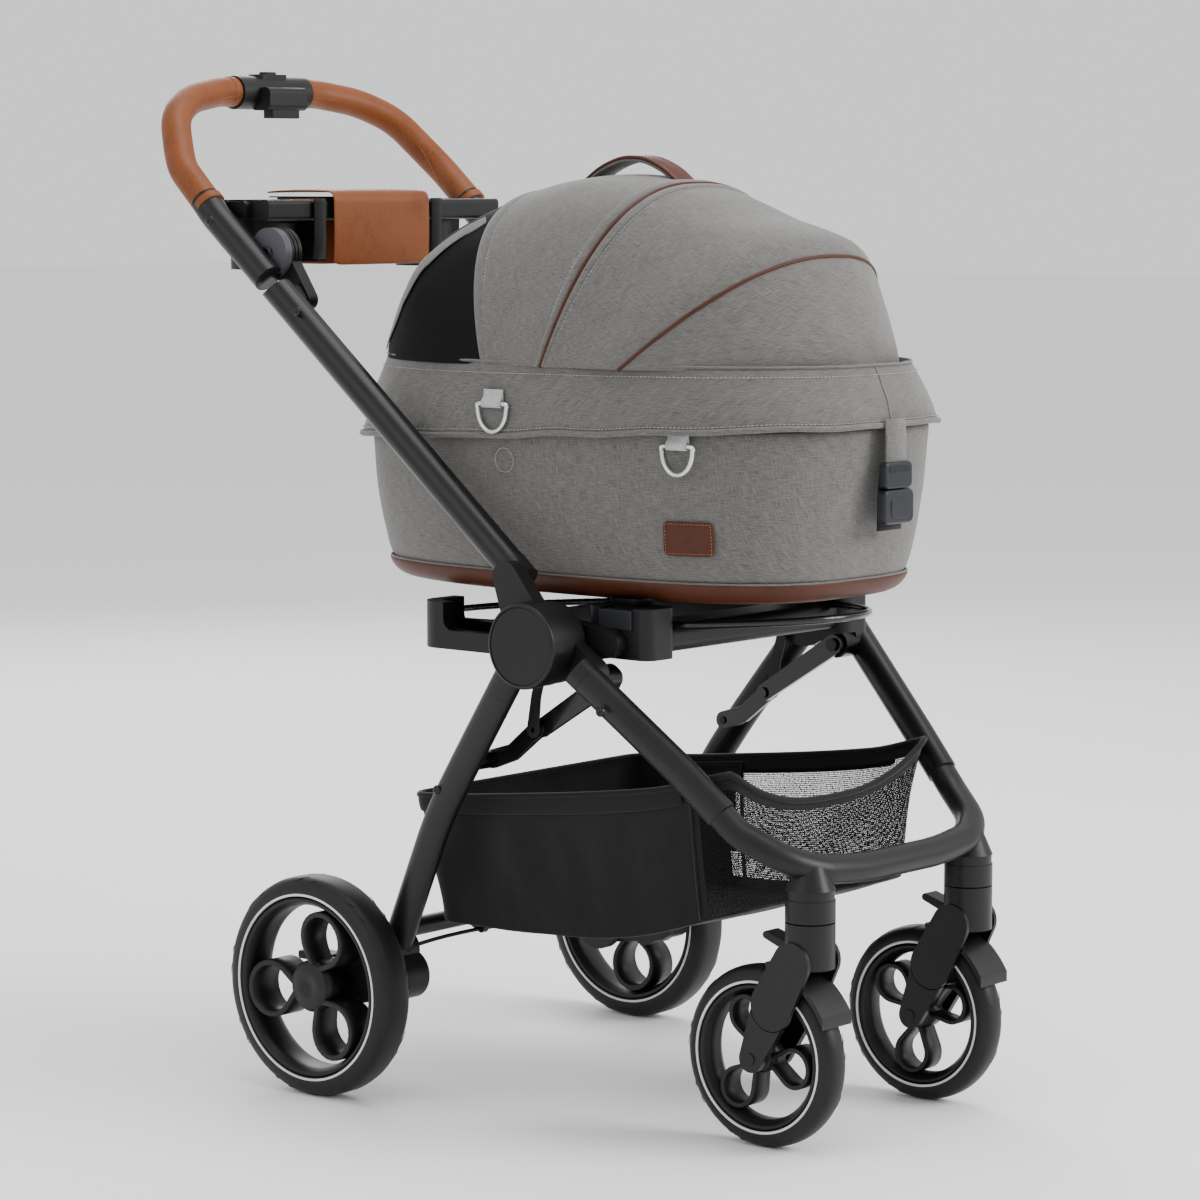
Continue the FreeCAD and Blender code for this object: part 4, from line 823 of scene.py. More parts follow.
def build_handle():
    """Leather on the grips, with a sewn seam and a folded cuff at each end."""
    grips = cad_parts["handle_grips"]
    grips.data.materials.clear()
    grips.data.materials.append(material("Tan leather"))
    grips.data.polygons.foreach_set("use_smooth", [True] * len(grips.data.polygons))
    softened(grips, 0.7)
    for side, name in ((1, "right"), (-1, "left")):
        path = smooth_path([(x * side, y, z) for x, y, z in HANDLE_LINE], 9)
        for cuff, p, q in (("low", path[0], path[2]), ("top", path[-1], path[-3])):
            step = (q - p).normalized() * 8
            bar_piece("grip_cuff_%s_%s" % (cuff, name),
                      [p + step * 0.04, p + step * 0.12, p + step * 0.9, p + step],
                      round_section(GRIP_R + 0.6, 32), "Tan leather", "handle",
                      Vector((0, 0.6, 0.8)))
        seam = []
        for p, t in zip(path, tangents(path)):
            across = t.cross(Vector((0, 0.6, 0.8))).normalized()
            out = (across * side * 0.55 - across.cross(t) * 0.83).normalized()
            seam.append(p + out * (GRIP_R + 0.4))
        stitches("grip_seam_" + name, [seam[2:-2]], [lambda q, m=path: nearest_out(q, m)],
                 "handle", pitch=3.6, length=2.5, r=0.5)


def nearest_out(q, path):
    best = min(path, key=lambda p: (p - q).length)
    return (q - best).normalized()


FLAP_X = (-93.0, 61.0)


SEAM_INSET = 4.5   # the flap is sewn this far inside its edges


def build_console():
    """Leather flap over the organiser, its pocket, and the sewn edges."""
    x0, x1 = FLAP_X
    line = [(242, 955.2), (225, 956.4), (195, 957.2), (165, 957.0), (146, 956.4), (140.2, 954.6),
            (137.6, 950), (137.2, 940), (137.0, 915), (137.4, 895), (138.2, 877)]
    path = smooth_path([(0, y, z) for y, z in line], 3)
    rows = []
    count = 22
    for k, p in enumerate(path):
        share = k / (len(path) - 1)
        row = []
        for j in range(count + 1):
            u = j / count
            edge = min(u, 1 - u)
            tuck = 3.0 * max(0.0, 1 - edge / 0.06) ** 2 if share > 0.97 else 0.0
            puff = 1.2 * (1 - (2 * u - 1) ** 4)
            x = x0 + (x1 - x0) * u
            face = share > 0.62
            row.append((x, p.y - (puff if face else 0), p.z + (puff * 0.7 if not face else tuck)))
        rows.append(row)
    flap = sheet_piece("flap_leather", rows, "Tan leather", "pouch_flap", 2.4)
    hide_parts("pouch_flap")
    # the four seams on the face of the flap, run as a box inside its edges
    low_z, mid_z, top_z, face_y = 881.0, 915, 949, 135.9
    a, b = x0 + SEAM_INSET, x1 - SEAM_INSET
    inset = [[Vector((a, face_y + 0.8, top_z)), Vector((a, face_y + 0.6, mid_z)),
              Vector((a, face_y + 1.2, low_z))],
             [Vector((a, face_y + 1.2, low_z)), Vector(((a + b) / 2, face_y + 0.4, low_z)),
              Vector((b, face_y + 1.2, low_z))],
             [Vector((b, face_y + 1.2, low_z)), Vector((b, face_y + 0.6, mid_z)),
              Vector((b, face_y + 0.8, top_z))],
             [Vector((a, face_y + 0.8, top_z - 1)), Vector(((a + b) / 2, face_y + 0.2, top_z - 1)),
              Vector((b, face_y + 0.8, top_z - 1))]]
    stitches("flap_stitching", inset, [Vector((0, -1, 0))] * 4, "pouch_flap")
    sides = []
    for x in (a, b):
        sides.append([Vector((x, y, 957.6)) for y in (236, 220, 195, 170, 150)])
    stitches("lid_stitching", sides, [Vector((0, 0, 1))] * 2, "pouch_flap")
    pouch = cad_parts["pouch"]
    pouch.data.materials.clear()
    pouch.data.materials.append(material("Tan leather"))
    pouch.data.polygons.foreach_set("use_smooth", [True] * len(pouch.data.polygons))
    softened(pouch, 1.2)
    lining = [(x0 + 3, 236), (x0 + 3, 152), (x1 - 3, 152), (x1 - 3, 236)]
    bar_piece("lid_lining", [Vector((x, y, 951.6)) for x, y in lining], flat_section(6, 1.6),
              "Oxford", "pouch_flap", Vector((0, 0, 1)))
    for x in (-112.0, 76.0):
        bar_piece("console_strap_%s" % ("right" if x < 0 else "left"),
                  [Vector((x, 139.5, 950)), Vector((x, 138.8, 946)), Vector((x, 138.8, 905)),
                   Vector((x, 140.5, 884))],
                  [(a, b) for b, a in flat_section(17, 2.2)], "Oxford", "handle",
                  Vector((1, 0, 0)))


# ---- basket -------------------------------------------------------------------------
BASKET_REAR, BASKET_FRONT = -64.0, -482.0
BASKET_COUNT = 168


def rounded_box(half_w, rear, front, r):
    """Level outline with straight sides and rounded corners, evenly spaced."""
    out = []
    for cx, cy, start in ((half_w - r, rear - r, 0), (-half_w + r, rear - r, 90),
                          (-half_w + r, front + r, 180), (half_w - r, front + r, 270)):
        for k in range(42):
            a = math.radians(start + 90 * k / 41)
            out.append((cx + r * math.cos(a), cy + r * math.sin(a)))
    return even(out)


def basket_outline(share):
    """Level outline between the rim (0) and the floor (1), narrower towards the front."""
    rear = BASKET_REAR - 24 * share ** 1.3
    front = BASKET_FRONT + 6 * share ** 1.3
    half_w = 189.0 - 12 * share ** 1.2
    out = []
    for x, y in rounded_box(half_w, rear, front, 24.0):
        along = (BASKET_REAR - y) / (BASKET_REAR - BASKET_FRONT)
        out.append((x * (1 - (0.05 + 0.13 * share) * max(0.0, along) ** 3), y))
    return out


def rim_height(x, y):
    """Rim of the basket: rises to the front, then dips across the front opening."""
    z = through([(-480.0, 380.0), (-395.0, 357.0), (-165.0, 328.0), (-64.0, 320.0)], y)
    ahead = max(0.0, min(1.0, (-446.0 - y) / 30.0))
    return z - chosen("basket").front_dip / MM * (1 - min(1.0, abs(x) / 165.0) ** 2.6) * ahead ** 0.7


def floor_height(y):
    return through([(-480.0, 236.0), (-345.0, 197.0), (-200.0, 187.0), (-90.0, 186.0)], y)


WALL_ROWS = 12           # rows of the cloth from the rim down to the foot of the wall
SIDE_MESH_Y = -216.0     # the left side is mesh ahead of this place
FRONT_MESH_Y = -444.0    # and the right side only ahead of this one


def basket_rows():
    rows = []
    levels = [0.0, 0.05, 0.1, 0.16, 0.25, 0.36, 0.48, 0.6, 0.72, 0.83, 0.92, 0.98, 1.0]
    for share in levels:
        row = []
        for x, y in basket_outline(share):
            top, low = rim_height(x, y), floor_height(y)
            z = top + (low - top) * share
            inward = 6.0 * math.sin(math.pi * min(1.0, share)) * (1.0 if abs(x) < 175 else 0.6)
            fold = ripple((x, y, z * 0.5), 46.0, chosen("basket").fold_depth / MM, 3.1)
            fold *= math.sin(math.pi * share)
            fold += ripple((x * 2 + z, y * 2, z), 30.0, 2.2, 9.4) * share
            out = Vector((x, y - (BASKET_REAR + BASKET_FRONT) / 2, 0)).normalized()
            p = Vector((x, y, z)) + out * (fold - inward)
            row.append(p)
        rows.append(row)
    middle = (BASKET_REAR + BASKET_FRONT) / 2
    for shrink in (0.94, 0.8, 0.55, 0.25, 0.02):
        row = []
        for p in rows[WALL_ROWS]:
            q = Vector((p.x * shrink, middle + (p.y - middle) * shrink, p.z))
            q.z = floor_height(q.y) - 4.0 * (1 - shrink) + ripple(q, 60, 3.0, 1.7)
            row.append(q)
        rows.append(row)
    return rows


def build_basket():
    """Cloth basket: oxford sides and floor, open mesh in front, bound edges."""
    rows = basket_rows()
    foot = rows[WALL_ROWS]
    points, faces, uvs = grid(rows, True)
    count = BASKET_COUNT
    obj = build("basket_cloth", points, faces, "Oxford", None, uvs)
    obj.data.materials.append(material("Basket mesh"))
    for poly in obj.data.polygons:
        ring = poly.index // count
        x, y = (sum(points[v][k] for v in poly.vertices) / 4 for k in (0, 1))
        reach = SIDE_MESH_Y if x > 150 else FRONT_MESH_Y
        if y < reach and 2 <= ring <= 9 + (y < FRONT_MESH_Y):
            poly.material_index = 1
    shell = obj.modifiers.new("thickness", "SOLIDIFY")
    shell.thickness = 0.5 * MM
    shell.offset = 0.0
    obj.modifiers.new("smooth", "SUBSURF").levels = 1
    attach(obj, "front_frame")
    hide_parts("basket")
    trims = [obj]
    rim = [p.copy() for p in rows[0]]
    trims.append(bar_piece("basket_rim_binding", rim, round_section(3.4, 12), "Oxford",
                           "front_frame", Vector((0, 0, 1)), True))
    hem_rows = []
    for share, grow in ((0.0, 1.2), (0.05, 2.0), (0.115, 2.0), (0.13, 0.6)):
        hem = []
        for k, p in enumerate(rows[0]):
            q = p.lerp(foot[k], share)
            out = Vector((p.x, p.y - (BASKET_REAR + BASKET_FRONT) / 2, 0)).normalized()
            hem.append(q + out * grow)
        hem_rows.append(hem)
    keep = [k for k in range(count) if rows[0][k].y > -436.0]
    first = next(k for k in keep if (k - 1) % count not in keep)
    order = [(first + k) % count for k in range(len(keep))]
    trims.append(sheet_piece("basket_hem", [[row[k] for k in order] for row in hem_rows],
                             "Oxford", "front_frame", 1.4))
    for side in (-1, 1):
        pad = []
        for z_share in (0.035, 0.1):
            line = []
            for y in range(-232, -128, 8):
                z = rim_height(side * 184, y)
                z += (floor_height(y) - z) * z_share
                line.append((side * (186.5 - 14 * z_share), y, z))
            pad.append(line)
        trims.append(sheet_piece("basket_tab_%s" % ("right" if side < 0 else "left"), pad,
                                 "Oxford", "front_frame", 2.6))
        seam = []
        for r in range(1, WALL_ROWS):
            start = SIDE_MESH_Y if side > 0 else FRONT_MESH_Y + 4
            k = min(range(count), key=lambda j: (rows[0][j] - Vector(
                (side * 181, start, rows[0][j].z))).length)
            seam.append(rows[r][k].copy())
        trims.append(bar_piece("basket_mesh_seam_%s" % ("right" if side < 0 else "left"), seam,
                               round_section(2.2, 8), "Oxford", "front_frame",
                               Vector((0, 1, 0))))
    for piece in trims:
        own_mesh(piece)


# ---- pod ----------------------------------------------------------------------------
RING_COUNT = 168
BAND_TOP = 565.0


def pod_outline(z, grow=0.0):
    share = (z - POD_FLOOR) / (TUB_TOP - POD_FLOOR)
    bulge = 2.5 * math.sin(math.pi * min(1.0, max(0.0, share)))
    tuck = max(0.0, 1 - share) ** 4
    half_l = POD_HALF_L - 20 * (1 - share) - 12 * tuck + grow + bulge * 0.3
    half_w = POD_HALF_W - 10 * (1 - share) - 6 * tuck + grow + bulge * 0.5
    return superellipse(half_w, half_l, 3.0, RING_COUNT)


def outward(p):
    return Vector((p[0] / POD_HALF_W ** 2, (p[1] - POD_Y) / POD_HALF_L ** 2, 0)).normalized()


def build_tub():
    """Fabric tub on its leather-clad base, with a padded floor."""
    rows = []
    for k in range(16):
        t = k / 15
        z = BAND_TOP + (TUB_TOP - 1 - BAND_TOP) * t
        row = []
        for x, y in pod_outline(z):
            n = outward((x, y))
            sway = ripple((x, y, z), 90.0, 2.6, 0.7) + ripple((x * 1.4, y, z * 2.2), 34.0, 0.9, 4.0)
            pinch = -2.0 * math.exp(-((z - BAND_TOP) / 6.0) ** 2)
            row.append(Vector((x, y, z)) + n * (sway * math.sin(math.pi * (0.1 + 0.8 * t))
                                                + pinch))
        rows.append(row)
    tub = sheet_piece("tub_cloth", rows, "Linen", "pod", 4.0, True)
    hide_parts("pod_tub")
    band = []
    for z, grow in ((BAND_TOP + 1.0, -0.6), (BAND_TOP - 1, 0.3), (BAND_TOP - 6, -0.6),
                    (BAND_TOP - 11, -3.0), (BAND_TOP - 15, -7.0), (POD_FLOOR + 0.8, -13.0),
                    (POD_FLOOR, -22.0)):
        band.append([Vector((x, y, z)) for x, y in pod_outline(max(z, POD_FLOOR), grow)])
    base = sheet_piece("base_leather", band, "Brown leather", "pod", 2.5, True)
    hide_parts("pod_band")
    floor_rows = [[Vector((x, y, POD_FLOOR + 0.2)) for x, y in pod_outline(POD_FLOOR, -20)]]
    for shrink in (0.75, 0.4, 0.02):
        floor_rows.append([Vector((p.x * shrink, POD_Y + (p.y - POD_Y) * shrink, p.z))
                           for p in floor_rows[0]])
    sheet_piece("base_board", floor_rows, "Oxford", "pod", 3.0, True, 0)
    edge = [Vector((x, y, BAND_TOP + 1.5)) for x, y in pod_outline(BAND_TOP, 0.6)]
    bar_piece("base_piping", edge, round_section(1.3, 8), "Linen", "pod",
              Vector((0, 0, 1)), True)
    foot_points, foot_faces = [], []
    for s in (-1, 1):
        low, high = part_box("adapter_button_right")
        y = ((low.y + high.y) / 2 - AXLE_Y) / MM
        start = len(foot_points)
        rings = ((540.6, 12), (541.5, 14), (549, 16))
        for z, half in rings:
            for k in range(24):
                a = 2 * math.pi * k / 24
                c, t = math.cos(a), math.sin(a)
                foot_points.append(Vector((s * 164 + half * math.copysign(abs(c) ** 0.5, c),
                                           y + (half + 6) * math.copysign(abs(t) ** 0.5, t), z)))
        for i in range(2):
            for k in range(24):
                m = (k + 1) % 24
                foot_faces.append((start + i * 24 + k, start + i * 24 + m,
                                   start + i * 24 + 24 + m, start + i * 24 + 24 + k))
        foot_faces.append(tuple(start + k for k in range(23, -1, -1)))
    build("pod_feet", foot_points, foot_faces, "Nylon", "pod")
    build_mattress()


def build_mattress():
    """Quilted mattress, swollen by a short cloth simulation."""
    low = POD_FLOOR + 7.0
    rows = []
    for z, shrink in ((low, 0.90), (low + 5, 0.96), (low + 26, 0.96), (low + 31, 0.90)):
        rows.append([Vector((x * shrink, POD_Y + (y - POD_Y) * shrink, z))
                     for x, y in pod_outline(POD_FLOOR + 10, -14)])
    points, faces, uvs = grid(rows, True, False, True)
    pad = build("mattress", points, faces, "Cotton", None, uvs)
    swell(pad, chosen("pod").mattress_swell / MM)
    tufts(pad, low + 31)
    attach(pad, "pod")
    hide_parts("pod_pad")


def swell(obj, most_mm):
    """Inflates a closed mesh with cloth pressure, and keeps it near its pattern."""
    scene = bpy.context.scene
    bpy.context.view_layer.objects.active = obj
    remesh = obj.modifiers.new("remesh", "REMESH")
    remesh.mode = "VOXEL"
    remesh.voxel_size = 6 * MM
    dg = bpy.context.evaluated_depsgraph_get()
    fresh = bpy.data.meshes.new_from_object(obj.evaluated_get(dg))
    obj.modifiers.clear()
    obj.data = fresh
    rest = [v.co.copy() for v in fresh.vertices]
    cloth = obj.modifiers.new("cloth", "CLOTH")
    cloth.settings.use_pressure = True
    cloth.settings.uniform_pressure_force = 4.0
    cloth.settings.effector_weights.gravity = 0.0
    cloth.settings.mass = 0.3
    cloth.point_cache.frame_start = 1
    cloth.point_cache.frame_end = 20
    for step in range(1, 21):
        scene.frame_set(step)
    dg = bpy.context.evaluated_depsgraph_get()
    final = bpy.data.meshes.new_from_object(obj.evaluated_get(dg))
    obj.modifiers.clear()
    obj.data = final
    for v, before in zip(final.vertices, rest):
        moved = v.co - before
        if moved.length > most_mm * MM:
            v.co = before + moved.normalized() * most_mm * MM
    final.polygons.foreach_set("use_smooth", [True] * len(final.polygons))
    if not final.materials:
        final.materials.append(material("Cotton"))
    scene.frame_set(1)


def tufts(obj, top):
    """Presses quilting lines, 55 mm apart, into the top of the mattress."""
    for v in obj.data.vertices:
        z = v.co.z / MM
        if z < top - 8:
            continue
        x, y = v.co.x / MM, (v.co.y - AXLE_Y) / MM
        near = min(abs(((x + y) % 55) - 27.5), abs(((x - y) % 55) - 27.5))
        v.co.z -= 4.0 * math.exp(-(near / 5.0) ** 2) * MM


HEM_REAR = 697.0    # the skirt's hem at the rear of the pod
HEM_RISE = 29.0     # and how much higher it is at the front


def skirt_height(share, y):
    """Height of the skirt at a place along the pod; share 0 is the hem and 1 the zip."""
    along = (POD_Y + SKIRT_HALF_L - y) / (2 * SKIRT_HALF_L)
    hem = HEM_REAR + HEM_RISE * along
    return hem + (SKIRT_TOP - 1.5 - hem) * share


def build_skirt():
    """Zipped cover skirt: flared soft hem, gentle waves, roll at the lower edge."""
    rows = []
    for k in range(15):
        share = k / 14
        flare = chosen("pod").hem_flare / MM * (1 - share) ** 1.4
        half_w = POD_HALF_W + 0.5 + flare + 1.2 * share
        half_l = POD_HALF_L + 1.5 + flare - 13.5 * share ** 1.5
        row = []
        for x, y in superellipse(half_w, half_l, 3.0 - 0.5 * share, RING_COUNT):
            z = skirt_height(share, y)
            n = outward((x, y))
            wave = ripple((x, y, 0), 70.0, 3.2, 5.5) * (1 - share)
            crease = ripple((x * 1.3, y * 1.3, z * 2.6), 26.0, 1.1, 8.8)
            soft = 1.8 * math.sin(math.pi * share)
            row.append(Vector((x, y, z + wave * 0.9)) + n * (crease + soft + wave * 0.25 - 0.8))
        rows.append(row)
    skirt = sheet_piece("skirt_cloth", rows, "Linen", "pod", 2.2, True)
    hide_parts("pod_skirt")
    hem = [p + outward(p) * 0.6 - Vector((0, 0, 0.5)) for p in rows[0]]
    bar_piece("skirt_hem_roll", hem, round_section(3.0, 12), "Linen", "pod",
              Vector((0, 0, 1)), True)
    zip_line = [p + Vector((0, 0, 0.8)) for p in rows[-1]]
    bar_piece("skirt_top_binding", zip_line, round_section(1.5, 8), "Linen", "pod",
              Vector((0, 0, 1)), True)
    lines = [[p + outward(p) * 1.2 for p in rows[1]] + [rows[1][0]]]
    lines.append([p + outward(p) * 1.0 for p in rows[12]] + [rows[12][0]])
    stitches("skirt_stitching", lines, [outward, outward], "pod", "Grey thread",
             pitch=4.5, length=3.2, r=0.4)
    front = min(range(RING_COUNT), key=lambda k: rows[7][k].y + abs(rows[7][k].x) * 0.01)
    seam = [row[front] + outward(row[front]) * 0.3 for row in rows]
    bar_piece("skirt_front_seam", seam, flat_section(3.0, 0.9), "Linen", "pod",
              Vector((0, -1, 0)))


# ---- canopy -------------------------------------------------------------------------
PIVOT_Y, PIVOT_Z = -215.0, 660.0
# angle from the rear, height, half width and squareness of the canopy's hoops
HOOP_B = [(21, 318), (35, 325), (50, 327), (67.5, 318), (86, 317), (106, 318), (122, 328),
          (131, 347), (135.5, 356), (139, 350), (148, 336), (160, 323)]
HOOP_A = [(21, 190), (45, 192), (67.5, 194), (86, 195), (106, 197), (122, 199), (138, 204),
          (160, 206)]
HOOP_N = [(21, 2.4), (35, 2.6), (50, 2.9), (67.5, 2.45), (106, 2.5), (138, 2.4), (160, 2.35)]
SEAM_REAR, SEAM_VISOR = 67.5, 138.5
CANOPY_FOOT = 5.0


def hoop(phi, count=73, lift=0.0):
    """Points of the canopy across one hoop, from the right side to the left."""
    b = through(HOOP_B, phi) + lift
    a = through(HOOP_A, phi) + lift
    n = through(HOOP_N, phi)
    s = math.sin(math.radians(phi))
    c = math.cos(math.radians(phi))
    low = min(0.9995, (SKIRT_TOP - CANOPY_FOOT - PIVOT_Z) / s / b)
    start = math.asin(low ** (n / 2))
    out = []
    for k in range(count):
        t = start + (math.pi - 2 * start) * k / (count - 1)
        x = -a * math.copysign(abs(math.cos(t)) ** (2 / n), math.cos(t))
        r = b * math.sin(t) ** (2 / n)
        out.append(Vector((x, PIVOT_Y + r * c, PIVOT_Z + r * s)))
    return out


def canopy_out(p):
    return Vector((p[0] / 200 ** 2, (p[1] - PIVOT_Y) / 320 ** 2,
                   (p[2] - PIVOT_Z) / 320 ** 2)).normalized()


def canopy_panel(name, first, last, finish, body, slack, thick=2.0, steps=18):
    """Cloth between two hoops, pulled in a little where nothing carries it."""
    rows = []
    for k in range(steps + 1):
        t = k / steps
        phi = first + (last - first) * t
        row = []
        for p in hoop(phi):
            n = canopy_out(p)
            up = min(1.0, (p.z - SKIRT_TOP) / 80.0)
            pull = -slack * math.sin(math.pi * t) * max(0.0, up)
            pull += ripple(p, 55.0, 1.5, 2.2) * math.sin(math.pi * t)
            pull += ripple((p.x, p.y * 2.0, p.z), 24.0, 0.7, 6.1)
            row.append(p + n * pull)
        rows.append(row)
    return sheet_piece(name, rows, finish, body, thick)


def hoop_seam(phi, name, r, finish, body, lift=0.6):
    path = hoop(phi, 61, lift)
    return bar_piece(name, path, round_section(r, 10), finish, body, Vector((0, 0.5, 0.8)))


def front_blend(piece):
    """Bakes the piece's placement into its mesh."""
    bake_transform(piece)


def build_canopy():
    """Window, middle and front panels with their piping, bindings and stitching."""
    middle_phi = math.degrees(chosen("pod").middle_hoop)
    rear = canopy_panel("rear_window", 21.2, SEAM_REAR, "Window mesh", "pod", 2.0, 0.8)
    middle = canopy_panel("canopy_middle", SEAM_REAR, middle_phi, "Linen", "pod", 2.5)
    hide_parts("canopy_shell")
    front = canopy_panel("canopy_front_panel", middle_phi, SEAM_VISOR, "Linen", None, 4.0)
    visor = canopy_panel("canopy_visor", SEAM_VISOR, 158.6, "Linen", None, 1.0, 2.0, 12)
    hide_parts("canopy_front")
    for piece in (front, visor):
        front_blend(piece)
    hoop_seam(middle_phi, "piping_middle", 1.9, "Brown leather", "pod", 1.6)
    piping = hoop_seam(SEAM_VISOR, "piping_visor", 1.9, "Brown leather", None,
                       1.4)
    front_blend(piping)
    # the wide sewn binding along the window, and the padded hoop pockets beside the piping
    for phi, wide, name, body in ((SEAM_REAR + 1.6, 3.6, "window_binding", "pod"),
                                  (middle_phi - 1.9, 2.6, "hoop_pocket_middle", "pod"),
                                  (middle_phi + 1.5, 2.0, "hoop_edge_middle", "pod")):
        rows = []
        for k in range(7):
            t = k / 6
            lift = 0.7 + 1.6 * math.sin(math.pi * t)
            rows.append(hoop(phi + wide * (t - 0.5), 73, lift))
        sheet_piece(name, rows, "Linen", body, 0.9)
    lines, outs = [], []
    for phi in (SEAM_REAR + 3.6, middle_phi + 2.9, middle_phi - 3.4):
        lines.append(hoop(phi, 121, 1.1))
        outs.append(canopy_out)
    stitches("canopy_stitching", lines, outs, "pod", "Grey thread", pitch=4.5,
             length=3.2, r=0.4)
    # bindings between the side windows and the rear window
    for side, name in ((1, "right"), (-1, "left")):
        edge = []
        for k in range(25):
            t = k / 24
            phi = 27.0 + 38.5 * t ** 0.9
            pts = hoop(phi, 121, 1.0)
            place = int((0.16 + 0.17 * t) * 120)
            edge.append(pts[place] if side > 0 else pts[120 - place])
        rows = []
        for p, t in zip(edge, tangents(edge)):
            n = canopy_out(p)
            across = t.cross(n).normalized()
            rows.append([p + across * w + n * (0.9 - abs(w) * 0.05)
                         for w in (-11.0, -7.0, -2.5, 2.5, 7.0, 11.0)])
        sheet_piece("window_band_" + name, rows, "Linen", "pod", 1.2)


# ---- small fittings on the pod --------------------------------------------------------
def build_carry_strap():
    """Padded carrying strap: leather outside, cloth inside, sewn along both edges."""
    arch = [(-150, 962), (-163, 974), (-182, 986), (-205, 994.5), (-224, 996.5), (-244, 994),
            (-266, 985), (-282, 974), (-293, 964)]
    path = smooth_path([(0, y, z) for y, z in arch], 6)
    section = flat_section(32, 3.2)
    top = [p + Vector((0, 0, -2.2)) for p in path]
    piece = bar_piece("strap_leather", top, [(b, a) for a, b in section], "Brown leather", "pod",
                      Vector((1, 0, 0)))
    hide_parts("carry_strap")
    under = [p + Vector((0, 0, -5.4)) for p in path]
    bar_piece("strap_lining", under, [(b * 1.0, a * 0.97) for a, b in section], "Linen", "pod",
              Vector((1, 0, 0)))
    lines = [[p + Vector((s * 13.0, 0, -0.5)) for p in path] for s in (-1, 1)]
    stitches("strap_stitching", lines, [Vector((0, 0, 1))] * 2, "pod",
             pitch=4.0, length=2.8)


def build_d_rings():
    """Nickel-plated leash rings on folded webbing tabs."""
    for name in ("rear", "front"):
        low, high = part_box("d_ring_" + name)
        x = (low.x + high.x) / 2 / MM
        y = ((low.y + high.y) / 2 - AXLE_Y) / MM
        z = high.z / MM - 2.0
        half = (high.y - low.y) / 2 / MM - 2.0
        depth = (high.z - low.z) / MM - 4.0
        loop = [(x, y + half - 2, z)]
        loop += [(x, y + half * math.cos(a), z - 5 - (depth - 5) * math.sin(a))
                 for a in [math.pi * k / 12 for k in range(13)]]
        loop.append((x, y - half + 2, z))
        path = smooth_path(loop, 4, True)
        ring = bar_piece("leash_ring_" + name, path, round_section(2.4, 14), "Nickel",
                         "d_ring_" + name, Vector((1, 0, 0)), True)
        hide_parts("d_ring_" + name)
        wall = 2.6
        tab = [(x + wall, y, z + 15), (x + wall * 0.6, y, z + 8), (x - 1.6, y, z + 3.4),
               (x - 3.0, y, z), (x - 1.2, y, z - 3.2), (x + 1.6, y, z - 2.4),
               (x + wall, y, z + 4), (x + wall, y, z + 13)]
        path = smooth_path(tab, 4)
        bar_piece("ring_tab_" + name, path, [(b, a) for a, b in flat_section(half * 1.35, 1.3)],
                  "Webbing", "pod", Vector((0, 1, 0)))


def wall_point(y, z, lift=0.0):
    """A point on the right-hand side of the tub at that place along the pod."""
    share = (z - POD_FLOOR) / (TUB_TOP - POD_FLOOR)
    half_l = POD_HALF_L - 20 * (1 - share)
    half_w = POD_HALF_W - 10 * (1 - share) + 1.2
    x = half_w * (1 - abs((y - POD_Y) / half_l) ** 3.0) ** (1 / 3.0)
    p = Vector((-x, y, z))
    n = Vector((-abs(x) ** 2 / half_w ** 3, (y - POD_Y) * abs(y - POD_Y) / half_l ** 3, 0))
    p += n.normalized() * lift
    return p


def build_patch():
    """Blank leather patch sewn on the side, and a stitched circle by the hub."""
    y0, y1, z0, z1 = -398.0, -450.0, 595.0, 630.0
    rows = []
    for k in range(9):
        v = k / 8
        row = []
        for j in range(17):
            u = j / 16
            corner = max(0.0, (abs(2 * u - 1) - 0.86) / 0.14) * max(0.0, (abs(2 * v - 1) - 0.72)
                                                                   / 0.28)
            cy = y0 + (y1 - y0) * (0.5 + (u - 0.5) * (1 - 0.05 * corner))
            cz = z0 + (z1 - z0) * (0.5 + (v - 0.5) * (1 - 0.1 * corner))
            row.append(wall_point(cy, cz, 2.6))
        rows.append(row)
    sheet_piece("side_patch", rows, "Brown leather", "pod", 1.8)
    loop = []
    margin = 2.5
    corners = [(y0 - margin, z0 + margin), (y1 + margin, z0 + margin),
               (y1 + margin, z1 - margin), (y0 - margin, z1 - margin)]
    for a, b in zip(corners, corners[1:] + corners[:1]):
        loop.append([wall_point(a[0] + (b[0] - a[0]) * k / 8, a[1] + (b[1] - a[1]) * k / 8, 2.8)
                     for k in range(9)])
    stitches("patch_stitching", loop, [Vector((-1, -0.5, 0)).normalized()] * 4, "pod",
             pitch=3.4, length=2.2, r=0.35)
    ring_y, ring_z, ring_r = -198, 683, 12.5
    ring = [wall_point(ring_y + ring_r * math.cos(a), ring_z + ring_r * math.sin(a), 1.6)
            for a in [2 * math.pi * k / 60 for k in range(61)]]
    stitches("sewn_circle", [ring], [Vector((-1, 0, 0))], "pod", "Grey thread",
             pitch=2.2, length=2.1, r=0.45)


